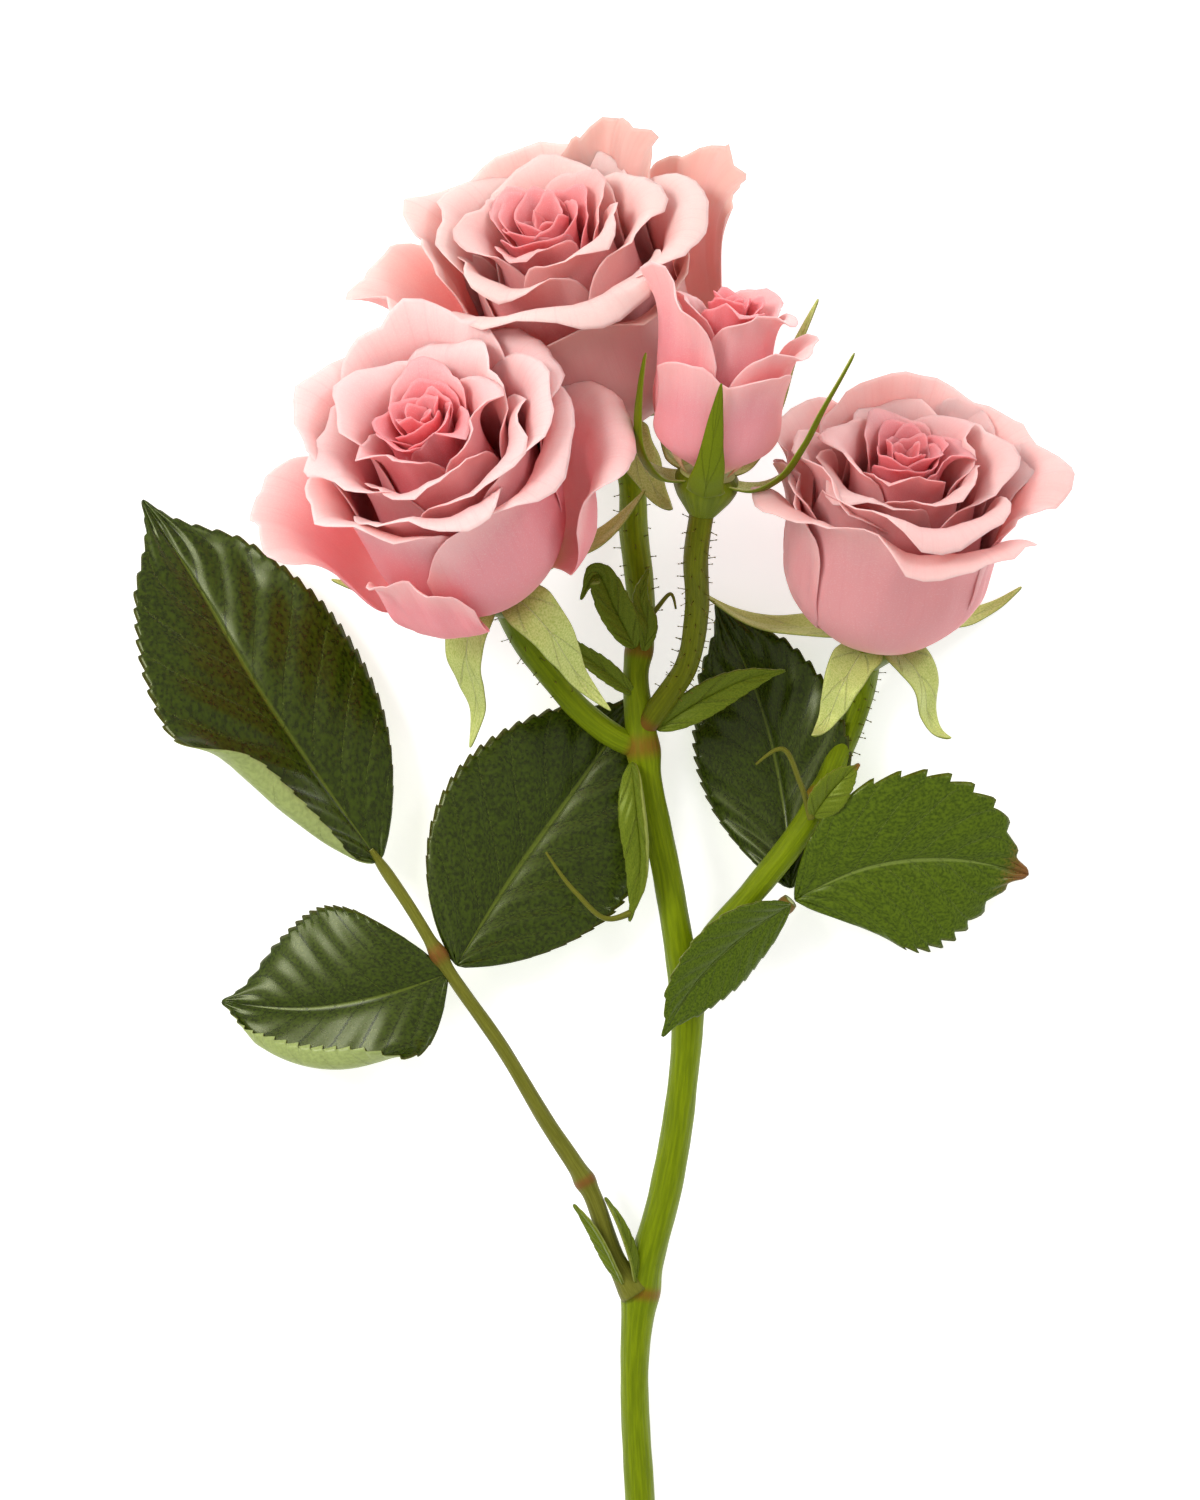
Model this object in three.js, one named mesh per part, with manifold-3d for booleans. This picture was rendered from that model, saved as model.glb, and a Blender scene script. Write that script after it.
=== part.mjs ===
// A cut spray rose lying on a table: one main stem that ends in a bloom, three side stems with two more
// blooms and a half-open bud, two leaves of three leaflets each, and the small bracts at the joints.
//
// Millimetres. The spray lies along +Y with its flowers at the far end, and +Z points up from the table.
// Everything is laid out from the crown, the joint where the side stems leave the main stem, with z
// counted from the table. The finished group is then moved so that the middle of its footprint is the origin.
import * as THREE from "three";
import { ParametricGeometry } from "three/addons/geometries/ParametricGeometry.js";
import { mergeVertices } from "three/addons/utils/BufferGeometryUtils.js";
import Module from "manifold-3d";

const wasm = await Module();
wasm.setup();

// ---- Driving dimensions ----
const GAP = 0.3; // clearance between pieces that touch
const PETAL_THICKNESS = 0.5;
const LEAF_THICKNESS = 0.6;
const SEPAL_THICKNESS = 0.8;
const RIM_SHARE = 0.4; // a petal's or a leaf's thickness at its rim, as a share of the thickness in its middle
const CLAW_RADIUS = 1.2; // where the innermost petals stand on the receptacle
const CLAW_HEIGHT = 0.6; // height of the petals' feet over the receptacle
const HIP = { radius: 5.2, length: 6.5 };
const CLAW_SPREAD = HIP.radius - CLAW_RADIUS - 0.8; // how much further out the outermost ones stand
const LIP_START = 0.7; // share of a petal's length at which its lip starts to roll

// ---- Colours ----
const PINK = 0xf0a3a5;
const DEEP_PINK = 0xe06a78;
const STEM_GREEN = 0x6f7d12;
const HIP_GREEN = 0x77851f;
const LEAF_GREEN = 0x35420c;
const BRACT_GREEN = 0x5f7a14;

const finish = (color, roughness) => new THREE.MeshStandardMaterial({ color, roughness, metalness: 0 });
const PETAL_FINISH = finish(PINK, 0.6);
const HEART_FINISH = finish(DEEP_PINK, 0.6);
const STEM_FINISH = finish(STEM_GREEN, 0.45);
const HIP_FINISH = finish(HIP_GREEN, 0.5);
const LEAF_FINISH = finish(LEAF_GREEN, 0.35);
const BRACT_FINISH = finish(BRACT_GREEN, 0.5);

const radians = THREE.MathUtils.degToRad;
const mix = THREE.MathUtils.lerp;
const smooth = (x) => THREE.MathUtils.smoothstep(x, 0, 1);
const points3 = (rows) => rows.map(([x, y, z]) => new THREE.Vector3(x, y, z));

// ---- Solids ----

// A mesh's geometry as a manifold-3d solid, and back.
function toSolid(geometry) {
  const bare = geometry.clone();
  bare.deleteAttribute("normal");
  bare.deleteAttribute("uv");
  const merged = mergeVertices(bare, 1e-3);
  return new wasm.Manifold(
    new wasm.Mesh({
      numProp: 3,
      vertProperties: merged.attributes.position.array,
      triVerts: new Uint32Array(merged.index.array),
    }),
  );
}

function toGeometry(solid) {
  const { vertProperties, triVerts } = solid.getMesh();
  return new THREE.BufferGeometry()
    .setAttribute("position", new THREE.BufferAttribute(vertProperties, 3))
    .setIndex(new THREE.BufferAttribute(triVerts, 1));
}

const largest = (solid) => solid.decompose().sort((a, b) => b.volume() - a.volume())[0];

// What is left of a piece outside its neighbours' grown shapes.
function cutClear(geometry, ...neighbours) {
  let solid = toSolid(geometry);
  for (const neighbour of neighbours) solid = solid.subtract(toSolid(neighbour));
  return toGeometry(largest(solid));
}

function joined(...geometries) {
  const [first, ...rest] = geometries.map(toSolid);
  return toGeometry(rest.reduce((whole, solid) => whole.add(solid), first));
}

// A thin closed sheet around a middle surface. point(u, v) gives that surface, with u from -1 to 1 across
// it and v from 0 to 1 along it. The sheet thins to RIM_SHARE of its thickness all round.
function sheet(point, thickness, across, along) {
  const step = 1e-3;
  const sides = 2 * across + 2; // the front, one side, the back and the other side
  const rows = along + 2; // with a row that closes each end
  const here = new THREE.Vector3();
  const acrossStep = new THREE.Vector3();
  const alongStep = new THREE.Vector3();
  const place = (around, up, target) => {
    const side = Math.round(around * sides) % sides;
    const row = Math.round(up * rows);
    const front = side <= across;
    const u = front ? (2 * side) / across - 1 : 1 - (2 * (side - across - 1)) / across;
    const v = THREE.MathUtils.clamp((row - 1) / along, 0, 1);
    const inner = THREE.MathUtils.clamp(u, -1 + step, 1 - step);
    const low = THREE.MathUtils.clamp(v, step, 1 - step);
    here.copy(point(inner, low));
    acrossStep.copy(point(inner + step, low)).sub(here);
    alongStep.copy(point(inner, low + step)).sub(here);
    const normal = acrossStep.cross(alongStep).normalize();
    const closing = row === 0 || row === rows;
    const rim = Math.abs(u) > 0.999 || v < 0.001 || v > 0.999;
    const half = closing ? 0 : (thickness / 2) * (rim ? RIM_SHARE : 1);
    target.copy(point(u, v)).addScaledVector(normal, front ? half : -half);
  };
  return new ParametricGeometry(place, sides, rows);
}

// A tube through rows of [x, y, z, radius], closed at both ends. grow makes it fatter all round, and slant
// cuts its first end at that many millimetres of length per millimetre of width.
function tube(rows, sides, steps, grow = 0, slant = 0) {
  const curve = new THREE.CatmullRomCurve3(points3(rows));
  const radii = new THREE.SplineCurve(rows.map((row, i) => new THREE.Vector2(i, row[3])));
  const frames = curve.computeFrenetFrames(steps, false);
  const place = (around, along, target) => {
    const ring = THREE.MathUtils.clamp(Math.round(along * (steps + 2)) - 1, 0, steps);
    const capped = along < 1e-6 || along > 1 - 1e-6;
    const share = ring / steps;
    const radius = capped ? 0 : radii.getPoint(curve.getUtoTmapping(share)).y + grow;
    const angle = 2 * Math.PI * (around > 0.9999 ? 0 : around);
    const sideways = radius * Math.cos(angle);
    target
      .copy(curve.getPointAt(share))
      .addScaledVector(frames.normals[ring], sideways)
      .addScaledVector(frames.binormals[ring], radius * Math.sin(angle));
    if (ring === 0) target.addScaledVector(frames.tangents[0], slant * sideways);
  };
  return new ParametricGeometry(place, sides, steps + 2);
}

// A solid turned round the Z axis from [radius, height] corners.
function lathe(outline, sides) {
  const corners = outline.map(([x, y]) => new THREE.Vector2(x, y));
  return new THREE.LatheGeometry(corners, sides).rotateX(Math.PI / 2);
}

function piece(name, geometry, material) {
  const mesh = new THREE.Mesh(geometry, material);
  mesh.name = name;
  return mesh;
}

// ---- Petals ----

// How far out and how high a petal is, at share t of its length. layer is 0 for the innermost petals of a
// bloom and 1 for the outermost.
function petalProfile(bloom, petal, t) {
  const { layer } = petal;
  const outward = (inner, outer) => mix(inner, outer, layer);
  const height = bloom.height * petal.tall;
  const body = new THREE.SplineCurve([
    new THREE.Vector2(CLAW_RADIUS + CLAW_SPREAD * layer, CLAW_HEIGHT + 1.5 * (1 - layer)),
    new THREE.Vector2(outward(3.4, bloom.radius * 0.62), outward(5.5, 3.4)),
    new THREE.Vector2(outward(5.4, bloom.radius * 0.95), height * 0.31),
    new THREE.Vector2(outward(5.2, bloom.radius), height * 0.56),
  ]);
  if (t <= LIP_START) return body.getPoint(t / LIP_START);
  const share = (t - LIP_START) / (1 - LIP_START);
  const end = body.getPoint(1);
  const steps = 8;
  const stride = (height * 0.44 * share) / steps;
  for (let i = 0; i < steps; i++) {
    const way = ((i + 0.5) / steps) * share;
    const angle = radians(petal.lean + petal.reflex * way * way);
    end.x += stride * Math.sin(angle);
    end.y += stride * Math.cos(angle);
  }
  return end;
}

// The middle surface of a petal in its bloom's frame, whose Z is the bloom's axis.
function petalPoint(bloom, petal) {
  const turn = radians(petal.azimuth);
  const spread = radians(petal.width);
  const foot = petalProfile(bloom, petal, 0);
  return (u, v) => {
    const side = Math.abs(u);
    const rim = 1 - 0.22 * side ** 4 + petal.peak * Math.exp(-((u / 0.22) ** 2)) + petal.slope * u;
    const t = v * rim;
    const wavy = 10 * Math.sin(3.1 * u + petal.wave) + 6 * Math.sin(6.7 * u + 2 * petal.wave);
    const rolled = { ...petal, reflex: petal.reflex + petal.corner * u * u + wavy * petal.frill };
    const out = petalProfile(bloom, rolled, t);
    const claw = 0.16 + 0.84 * smooth(v / 0.62);
    const angle = turn + u * spread * claw;
    const radius = out.x + petal.flare * side ** 2.5 * v ** 2;
    const tilt = radians(petal.open);
    const radial = radius * Math.cos(angle - turn) - foot.x;
    const across = radius * Math.sin(angle - turn);
    const rise = out.y - foot.y;
    const far = foot.x + radial * Math.cos(tilt) + rise * Math.sin(tilt);
    const high = foot.y - radial * Math.sin(tilt) + rise * Math.cos(tilt);
    return new THREE.Vector3(
      far * Math.cos(turn) - across * Math.sin(turn),
      far * Math.sin(turn) + across * Math.cos(turn),
      high,
    );
  };
}

const GOLDEN_ANGLE = 137.5;

// The petals of a bloom that follow one another round the spiral, inner ones first.
function spiralPetals(bloom) {
  return Array.from({ length: bloom.spiral }, (_, i) => {
    const share = i / (bloom.spiral - 1);
    const layer = mix(0.06, bloom.lastLayer, share);
    return {
      azimuth: bloom.turn + i * GOLDEN_ANGLE,
      layer,
      width: mix(95, 72, layer),
      tall: 1 - 0.03 * layer + 0.015 * Math.sin(5 * i),
      lean: mix(-13, 2, layer),
      reflex: mix(4, 40, layer),
      corner: mix(6, 20, layer),
      frill: layer,
      open: 0,
      peak: 0.02,
      slope: 0.03 * Math.sin(3 * i + 1),
      flare: 0,
      wave: 2.1 * i,
    };
  });
}

// An outer petal, set by hand.
function outerPetal(azimuth, layer, open, reflex, changes = {}) {
  return {
    azimuth,
    layer,
    open,
    reflex,
    width: 60,
    tall: 0.96,
    lean: 2,
    corner: 20,
    frill: 1,
    peak: 0.02,
    slope: 0,
    flare: 0,
    wave: azimuth / 40,
    ...changes,
  };
}

// Five sepals spaced evenly round the hip, each following one of the SEPAL_LINES.
function fiveSepals(first, lines) {
  return lines.map((line, i) => ({ azimuth: first + i * 72, line }));
}

// ---- The three blooms and the bud ----
// base is the top of the receptacle. lean turns the axis to the right of +Y, and tilt raises it off the
// table. Azimuth 0 faces up from the table and back along the stem, and 90 faces right.
const BLOOMS = {
  left_bloom: {
    base: [-23, 22.7, 27],
    lean: -25,
    tilt: 46,
    radius: 17.2,
    height: 41,
    turn: 20,
    spiral: 5,
    lastLayer: 0.66,
    sepals: fiveSepals(22, ["hanging", "level", "cupped", "level", "hanging"]),
    outer: [
      outerPetal(32, 0.84, 0, 56, { tall: 0.86, width: 62, slope: 0.05 }),
      outerPetal(-62, 0.92, 1, 50, { tall: 0.84, width: 60 }),
      outerPetal(-116, 1, 16, 50, { tall: 0.86, width: 44 }),
      outerPetal(166, 0.8, 0, 30, { tall: 1.02, width: 70 }),
      outerPetal(88, 1, 6, 90, { tall: 0.84, width: 44 }),
    ],
  },
  top_bloom: {
    base: [-4.9, 49.7, 12.1],
    lean: -19.6,
    tilt: 34,
    radius: 18.5,
    height: 40,
    turn: 200,
    spiral: 5,
    lastLayer: 0.66,
    sepals: fiveSepals(10, ["reflexed", "level", "cupped", "cupped", "reflexed"]),
    outer: [
      outerPetal(-14, 0.8, 0, 40, { tall: 0.86, width: 66 }),
      outerPetal(-86, 1, 7, 54, { tall: 0.94, width: 50 }),
      outerPetal(-160, 0.8, 0, 40, { tall: 1, width: 70 }),
      outerPetal(78, 0.94, 0, 56, { tall: 0.95, width: 56 }),
      outerPetal(108, 1.06, 14, 50, { tall: 0.94, width: 34 }),
    ],
  },
  right_bloom: {
    base: [37.6, 15, 13],
    lean: 9.7,
    tilt: 40,
    radius: 15.5,
    height: 38.5,
    turn: 80,
    spiral: 5,
    lastLayer: 0.64,
    sepals: fiveSepals(-90, ["level", "reflexed", "reflexed", "level", "cupped"]),
    outer: [
      outerPetal(168, 0.78, 0, 40, { tall: 0.98, width: 76 }),
      outerPetal(16, 0.82, 0, 34, { tall: 0.98, width: 68 }),
      outerPetal(-4, 1, 0, 40, { tall: 0.9, width: 66 }),
      outerPetal(-100, 1.06, 2, 30, { tall: 0.88, width: 42 }),
      outerPetal(100, 1.04, 6, 50, { tall: 0.96, width: 46 }),
    ],
  },
  bud: {
    base: [10.5, 39.2, 37],
    lean: 8,
    tilt: 22,
    radius: 10.5,
    height: 30,
    turn: 0,
    spiral: 2,
    lastLayer: 0.5,
    sepals: fiveSepals(0, ["upright", "spreading", "spreading", "upright", "upright"]),
    outer: [
      outerPetal(66, 0.76, 2, 30, { tall: 0.9 }),
      outerPetal(-64, 0.88, 1, 30, { tall: 1.04 }),
      outerPetal(6, 1, 1, 24, { tall: 0.72, width: 66 }),
    ],
  },
};

// The unit vector of a bloom's axis, from its hip towards its middle.
function bloomAxis({ lean, tilt }) {
  const flat = Math.cos(radians(tilt));
  return new THREE.Vector3(Math.sin(radians(lean)) * flat, Math.cos(radians(lean)) * flat, Math.sin(radians(tilt)));
}

// The point on a bloom's axis this far below its base.
function below(bloom, distance) {
  return bloomAxis(bloom).multiplyScalar(-distance).add(new THREE.Vector3(...bloom.base)).toArray();
}

// The tightly furled petals in the middle of a bloom.
function heart(bloom) {
  const { height } = bloom;
  const outline = [
    [0, 2.6],
    [0.6, 2.8],
    [2, 7],
    [3.6, height * 0.35],
    [3.8, height * 0.58],
    [2.6, height * 0.8],
    [1.4, height * 0.96],
    [0, height],
  ];
  return lathe(outline, 12);
}

// ---- Calyx: the hip under a bloom with its five sepals, which grow as one piece ----

// A sepal's midline as [distance out from the hip's rim, height], from inside the hip to its tip.
const SEPAL_LINES = {
  hanging: [
    [-1.6, -1.2],
    [2.8, -1.4],
    [6.3, -5],
    [7.3, -11],
    [8.8, -17],
    [12.8, -21],
  ],
  reflexed: [
    [-1.6, -1.2],
    [2.8, -1.6],
    [6.3, -4],
    [8.3, -8],
    [10.8, -9.6],
    [13.8, -8.6],
  ],
  level: [
    [-1.6, -1.2],
    [2.8, -1.2],
    [7.8, -2],
    [12.8, -2.6],
    [17.8, -1.6],
    [22.8, 1],
  ],
  cupped: [
    [-1.6, -1.2],
    [3.8, -2],
    [8.8, -0.4],
    [12.4, 3],
    [14.8, 8],
    [16.2, 13],
  ],
  upright: [
    [-1.6, -1.2],
    [3, -0.6],
    [6.2, 3],
    [7.5, 8],
    [7.8, 14],
    [7.8, 20],
  ],
  spreading: [
    [-1.6, -1.2],
    [3, -0.6],
    [7, 2.6],
    [10.2, 9],
    [12.6, 17],
    [15.8, 26],
  ],
};

function sepal({ azimuth, line, width = 3.6, sway = 0 }) {
  const midline = new THREE.SplineCurve(SEPAL_LINES[line].map(([x, y]) => new THREE.Vector2(x, y)));
  const turn = radians(azimuth);
  const outward = new THREE.Vector3(Math.cos(turn), Math.sin(turn), 0);
  const sideways = new THREE.Vector3(-Math.sin(turn), Math.cos(turn), 0);
  const point = (u, v) => {
    const at = midline.getPoint(v);
    const half = width * (1 - v) ** 0.8 * (1 - 0.3 * (1 - smooth(v / 0.2)));
    return outward
      .clone()
      .multiplyScalar(HIP.radius + at.x)
      .addScaledVector(sideways, u * half + sway * v * v)
      .add(new THREE.Vector3(0, 0, at.y));
  };
  return sheet(point, SEPAL_THICKNESS, 2, 7);
}

function calyx(bloom) {
  const { radius, length } = HIP;
  const hip = lathe(
    [
      [0, -length],
      [radius * 0.42, -length],
      [radius * 0.6, -length * 0.8],
      [radius * 0.88, -length * 0.5],
      [radius, -length * 0.2],
      [radius * 0.94, 0],
      [0, 0],
    ],
    16,
  );
  return joined(hip, ...bloom.sepals.map(sepal));
}

function bloomGroup(name, bloom) {
  const lean = radians(bloom.lean);
  const axis = bloomAxis(bloom);
  const right = new THREE.Vector3(Math.cos(lean), -Math.sin(lean), 0);
  const front = new THREE.Vector3().crossVectors(right, axis);
  const group = new THREE.Group();
  group.setRotationFromMatrix(new THREE.Matrix4().makeBasis(front, right, axis));
  group.position.set(...bloom.base);
  group.add(piece(`${name}_calyx`, calyx(bloom), HIP_FINISH));
  group.add(piece(`${name}_heart`, heart(bloom), HEART_FINISH));
  [...spiralPetals(bloom), ...bloom.outer].forEach((petal, i) => {
    const number = String(i + 1).padStart(2, "0");
    const geometry = sheet(petalPoint(bloom, petal), PETAL_THICKNESS, 5, 7);
    group.add(piece(`${name}_petal_${number}`, geometry, PETAL_FINISH));
  });
  return group;
}

// ---- Stems ----
// Rows of [x, y, z, radius]. A side stem starts inside the main stem and is cut back to its surface, and
// every stem ends under the hip of its bloom, in line with the bloom's axis.
const NECK = 6; // length of the straight piece under a hip
const neck = (bloom, radius) => [
  [...below(bloom, HIP.length + GAP + NECK), radius],
  [...below(bloom, HIP.length + GAP), radius],
];

const STEMS = {
  main_stem: [
    [1.2, -170, 2.45, 2.4],
    [0.3, -130, 3.4, 2.4],
    [-0.5, -98, 4.6, 2.45],
    [0.4, -90, 5, 2.75],
    [4.1, -75.4, 6.2, 2.6],
    [6.8, -59, 7.6, 2.45],
    [7.6, -44, 9, 2.5],
    [6.6, -37, 9.6, 2.5],
    [4.4, -24, 10.6, 2.3],
    [1.2, -8, 11.8, 2.3],
    [0, 1, 12, 2.4],
    [-0.6, 8, 11.6, 2],
    [0.4, 15.5, 10.8, 2.1],
    [0, 23, 9, 2.3],
    [-0.9, 31, 6.8, 2.3],
    ...neck(BLOOMS.top_bloom, 2.2),
  ],
  right_stem: [
    [6.8, -41, 9.2, 2.1],
    [11, -35.4, 9.4, 2.1],
    [18, -27, 9.6, 2.1],
    [24.5, -19, 9.4, 2.1],
    [28, -14, 9, 2.2],
    [31, -7.5, 7, 2],
    ...neck(BLOOMS.right_bloom, 2),
  ],
  bud_stem: [
    [0.3, -1, 12.4, 1.9],
    [3.2, 3, 14.6, 1.9],
    [7.2, 9, 18.6, 1.9],
    [9, 18, 25, 1.9],
    ...neck(BLOOMS.bud, 2),
  ],
  left_stem: [
    [0.6, -4, 12, 2],
    [-4.4, -1.6, 12.6, 2],
    [-9, 2, 12.8, 2],
    [-14, 7.6, 12.8, 2],
    ...neck(BLOOMS.left_bloom, 2),
  ],
};

const MAIN_STEM_SIDES = 10;
const MAIN_STEM_STEPS = 38;
const CUT_SLANT = 0.9;
const mainStem = (grow) => tube(STEMS.main_stem, MAIN_STEM_SIDES, MAIN_STEM_STEPS, grow, CUT_SLANT);
const sideStem = (name, grow) => tube(STEMS[name], 10, 14, grow);

function stemPieces() {
  const sides = ["right_stem", "bud_stem", "left_stem"].map((name) =>
    piece(name, cutClear(sideStem(name, 0), mainStem(GAP)), STEM_FINISH),
  );
  return [piece("main_stem", mainStem(0), STEM_FINISH), ...sides];
}

// ---- Leaves and bracts ----

// A blade along a spine. facing is the way its upper face looks, fold lifts its two halves, and droop
// bends its sides down again.
function blade({ spine, width, facing, fold = 0.15, droop = 0, blunt = 0.85 }, across, along, thickness) {
  const curve = new THREE.CatmullRomCurve3(points3(spine));
  const up = new THREE.Vector3(...facing).normalize();
  const point = (u, v) => {
    const share = THREE.MathUtils.clamp(v, 0, 1);
    const tangent = curve.getTangent(share);
    const side = new THREE.Vector3().crossVectors(tangent, up).normalize();
    const normal = new THREE.Vector3().crossVectors(side, tangent);
    const half = width * Math.max(0, Math.sin(Math.PI * share ** blunt)) ** 0.85;
    const lift = half * (fold * Math.abs(u) - droop * u * u);
    return curve.getPoint(share).addScaledVector(side, u * half).addScaledVector(normal, lift);
  };
  return sheet(point, thickness, across, along);
}

const LEAVES = {
  left_leaf: {
    stalk: [
      [0, -91.5, 6.2, 1.8],
      [-3.4, -87, 6.6, 1.7],
      [-7.9, -75, 7.6, 1.5],
      [-15.1, -63.5, 9, 1.3],
      [-22.2, -51.6, 10, 1.15],
      [-30.5, -39.7, 10.4, 1.05],
      [-37.3, -28.6, 9.6, 0.95],
      [-41.4, -22.6, 8.8, 0.9],
    ],
    leaflets: {
      end: {
        spine: [
          [-41.9, -21.9, 8.6],
          [-52.4, -7.1, 9.6],
          [-62.7, 8.1, 8.6],
          [-71, 22, 5],
          [-80.4, 36.4, 0.6],
        ],
        width: 17,
        facing: [0.25, 0.15, 1],
      },
      outer: {
        spine: [
          [-31, -40, 10.4],
          [-41, -43.4, 10.6],
          [-53, -45.6, 8],
          [-67.4, -44.6, 4],
        ],
        width: 16,
        facing: [0.1, 0.2, 1],
      },
      inner: {
        spine: [
          [-29.4, -38.6, 9.4],
          [-21, -25, 7],
          [-11, -11, 5],
          [0.8, 5.4, 3.4],
        ],
        width: 17,
        facing: [-0.1, -0.15, 1],
      },
    },
  },
  right_leaf: {
    stalk: [
      [7.2, -43, 7.6, 1.3],
      [13, -38.8, 6.6, 1.2],
      [19.4, -33, 7.4, 1.05],
      [24.3, -28.2, 9, 1],
    ],
    leaflets: {
      end: {
        spine: [
          [25, -28, 9],
          [37, -22.8, 11],
          [50, -21.6, 9],
          [62.7, -24, 5],
        ],
        width: 14,
        facing: [0, -0.2, 1],
      },
      back: {
        spine: [
          [24.4, -26.2, 7.4],
          [23.4, -14, 4.6],
          [20, 2, 3.6],
          [12.4, 19.8, 4],
        ],
        width: 12.5,
        facing: [-0.2, 0, 1],
      },
      front: {
        spine: [
          [23, -29.2, 11],
          [15.4, -35.4, 14.2],
          [3.4, -48.4, 15.4],
        ],
        width: 7,
        facing: [0.3, -0.5, 1],
      },
    },
  },
};

const BRACTS = {
  crown_bract: {
    spine: [
      [2.6, -0.6, 12],
      [10.6, 4.4, 13.4],
      [16, 7, 13],
      [23.4, 8.8, 11.6],
    ],
    width: 2.8,
    facing: [0, -0.3, 1],
  },
  hanging_bract: {
    spine: [
      [-1.2, -6, 15],
      [-0.4, -14, 17.4],
      [0.2, -22, 16.6],
      [-1.6, -31.4, 14],
    ],
    width: 3,
    facing: [-0.6, 0, 1],
  },
  upper_bract: {
    spine: [
      [-1.4, 12.4, 15],
      [-4, 18.5, 16.6],
      [-7, 24, 17.4],
      [-9.4, 20, 18.4],
    ],
    width: 2.6,
    facing: [0, 0.3, 1],
  },
  right_bract: {
    spine: [
      [27.8, -14.6, 13.4],
      [30.6, -10.6, 14.4],
      [35.2, -6.2, 14],
    ],
    width: 2.8,
    facing: [0.3, 0, 1],
  },
};

function leafPieces(name, { stalk, leaflets }) {
  const stalkTube = (grow) => tube(stalk, 8, 16, grow);
  const neighbours = [mainStem(GAP), sideStem("right_stem", GAP)];
  const pieces = [piece(`${name}_stalk`, cutClear(stalkTube(0), ...neighbours), STEM_FINISH)];
  for (const [part, shape] of Object.entries(leaflets)) {
    const geometry = cutClear(blade(shape, 6, 9, LEAF_THICKNESS), stalkTube(GAP), ...neighbours);
    pieces.push(piece(`${name}_${part}_leaflet`, geometry, LEAF_FINISH));
  }
  return pieces;
}

function bractPieces() {
  const stems = [mainStem(GAP), ...["right_stem", "bud_stem", "left_stem"].map((name) => sideStem(name, GAP))];
  return Object.entries(BRACTS).map(([name, shape]) =>
    piece(name, cutClear(blade(shape, 4, 8, LEAF_THICKNESS), ...stems), BRACT_FINISH),
  );
}

// ---- Assembly ----

const rose = new THREE.Group();
for (const [name, bloom] of Object.entries(BLOOMS)) rose.add(bloomGroup(name, bloom));
rose.add(...stemPieces());
for (const [name, leaf] of Object.entries(LEAVES)) rose.add(...leafPieces(name, leaf));
rose.add(...bractPieces());

// The middle of the spray's footprint on the table becomes the origin.
rose.updateMatrixWorld(true);
const box = new THREE.Box3().setFromObject(rose, true);
rose.position.set(-(box.min.x + box.max.x) / 2, -(box.min.y + box.max.y) / 2, -box.min.z);

export default rose;
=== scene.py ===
"""A cut spray rose lying on a pale surface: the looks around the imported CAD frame.

Shapes are worked out in millimetres in the spray's layout, whose origin is the crown, the joint where the
side stems leave the main stem, with z counted from the table. place() turns them into the row frame.
"""

import math

import bpy
import numpy as np
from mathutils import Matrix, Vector


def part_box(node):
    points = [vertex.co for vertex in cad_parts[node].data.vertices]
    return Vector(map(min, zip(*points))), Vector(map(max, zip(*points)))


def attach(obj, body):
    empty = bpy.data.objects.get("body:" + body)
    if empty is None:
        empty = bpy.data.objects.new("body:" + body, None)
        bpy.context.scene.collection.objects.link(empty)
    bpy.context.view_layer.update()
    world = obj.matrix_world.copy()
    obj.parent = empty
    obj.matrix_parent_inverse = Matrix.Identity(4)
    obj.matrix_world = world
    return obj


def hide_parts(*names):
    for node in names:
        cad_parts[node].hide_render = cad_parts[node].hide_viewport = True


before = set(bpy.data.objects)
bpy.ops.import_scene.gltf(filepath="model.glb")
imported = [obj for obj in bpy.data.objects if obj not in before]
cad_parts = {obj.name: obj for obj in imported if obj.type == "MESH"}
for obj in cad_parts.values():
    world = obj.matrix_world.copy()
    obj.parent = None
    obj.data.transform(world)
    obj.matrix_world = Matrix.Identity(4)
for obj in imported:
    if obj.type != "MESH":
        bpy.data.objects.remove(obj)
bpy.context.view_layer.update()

MM = 0.001
GOLDEN_ANGLE = 137.5

# ---- Numbers and curves ----


def smooth(x):
    x = np.clip(x, 0.0, 1.0)
    return x * x * (3 - 2 * x)


def mix(a, b, share):
    return a + (b - a) * share


def unit(v):
    return v / np.maximum(np.linalg.norm(v, axis=-1, keepdims=True), 1e-12)


def spline(rows, t):
    """Points at shares t of the chord length along a smooth curve through rows of any width."""
    rows = np.asarray(rows, float)
    gaps = np.linalg.norm(np.diff(rows[:, :3], axis=0), axis=1)
    knots = np.concatenate([[0], np.cumsum(gaps)]) / gaps.sum()
    slopes = np.diff(rows, axis=0) / np.diff(knots)[:, None]
    before, after = np.diff(knots)[:-1, None], np.diff(knots)[1:, None]
    inner = (slopes[:-1] * after + slopes[1:] * before) / (before + after)
    tangents = np.vstack([1.5 * slopes[:1] - 0.5 * inner[:1], inner, 1.5 * slopes[-1:] - 0.5 * inner[-1:]])
    t = np.clip(np.asarray(t, float), 0, 1)
    i = np.clip(np.searchsorted(knots, t, side="right") - 1, 0, len(rows) - 2)
    span = (knots[i + 1] - knots[i])[..., None]
    s = ((t - knots[i]) / (knots[i + 1] - knots[i]))[..., None]
    return (
        (2 * s**3 - 3 * s**2 + 1) * rows[i]
        + (s**3 - 2 * s**2 + s) * span * tangents[i]
        + (3 * s**2 - 2 * s**3) * rows[i + 1]
        + (s**3 - s**2) * span * tangents[i + 1]
    )


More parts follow.
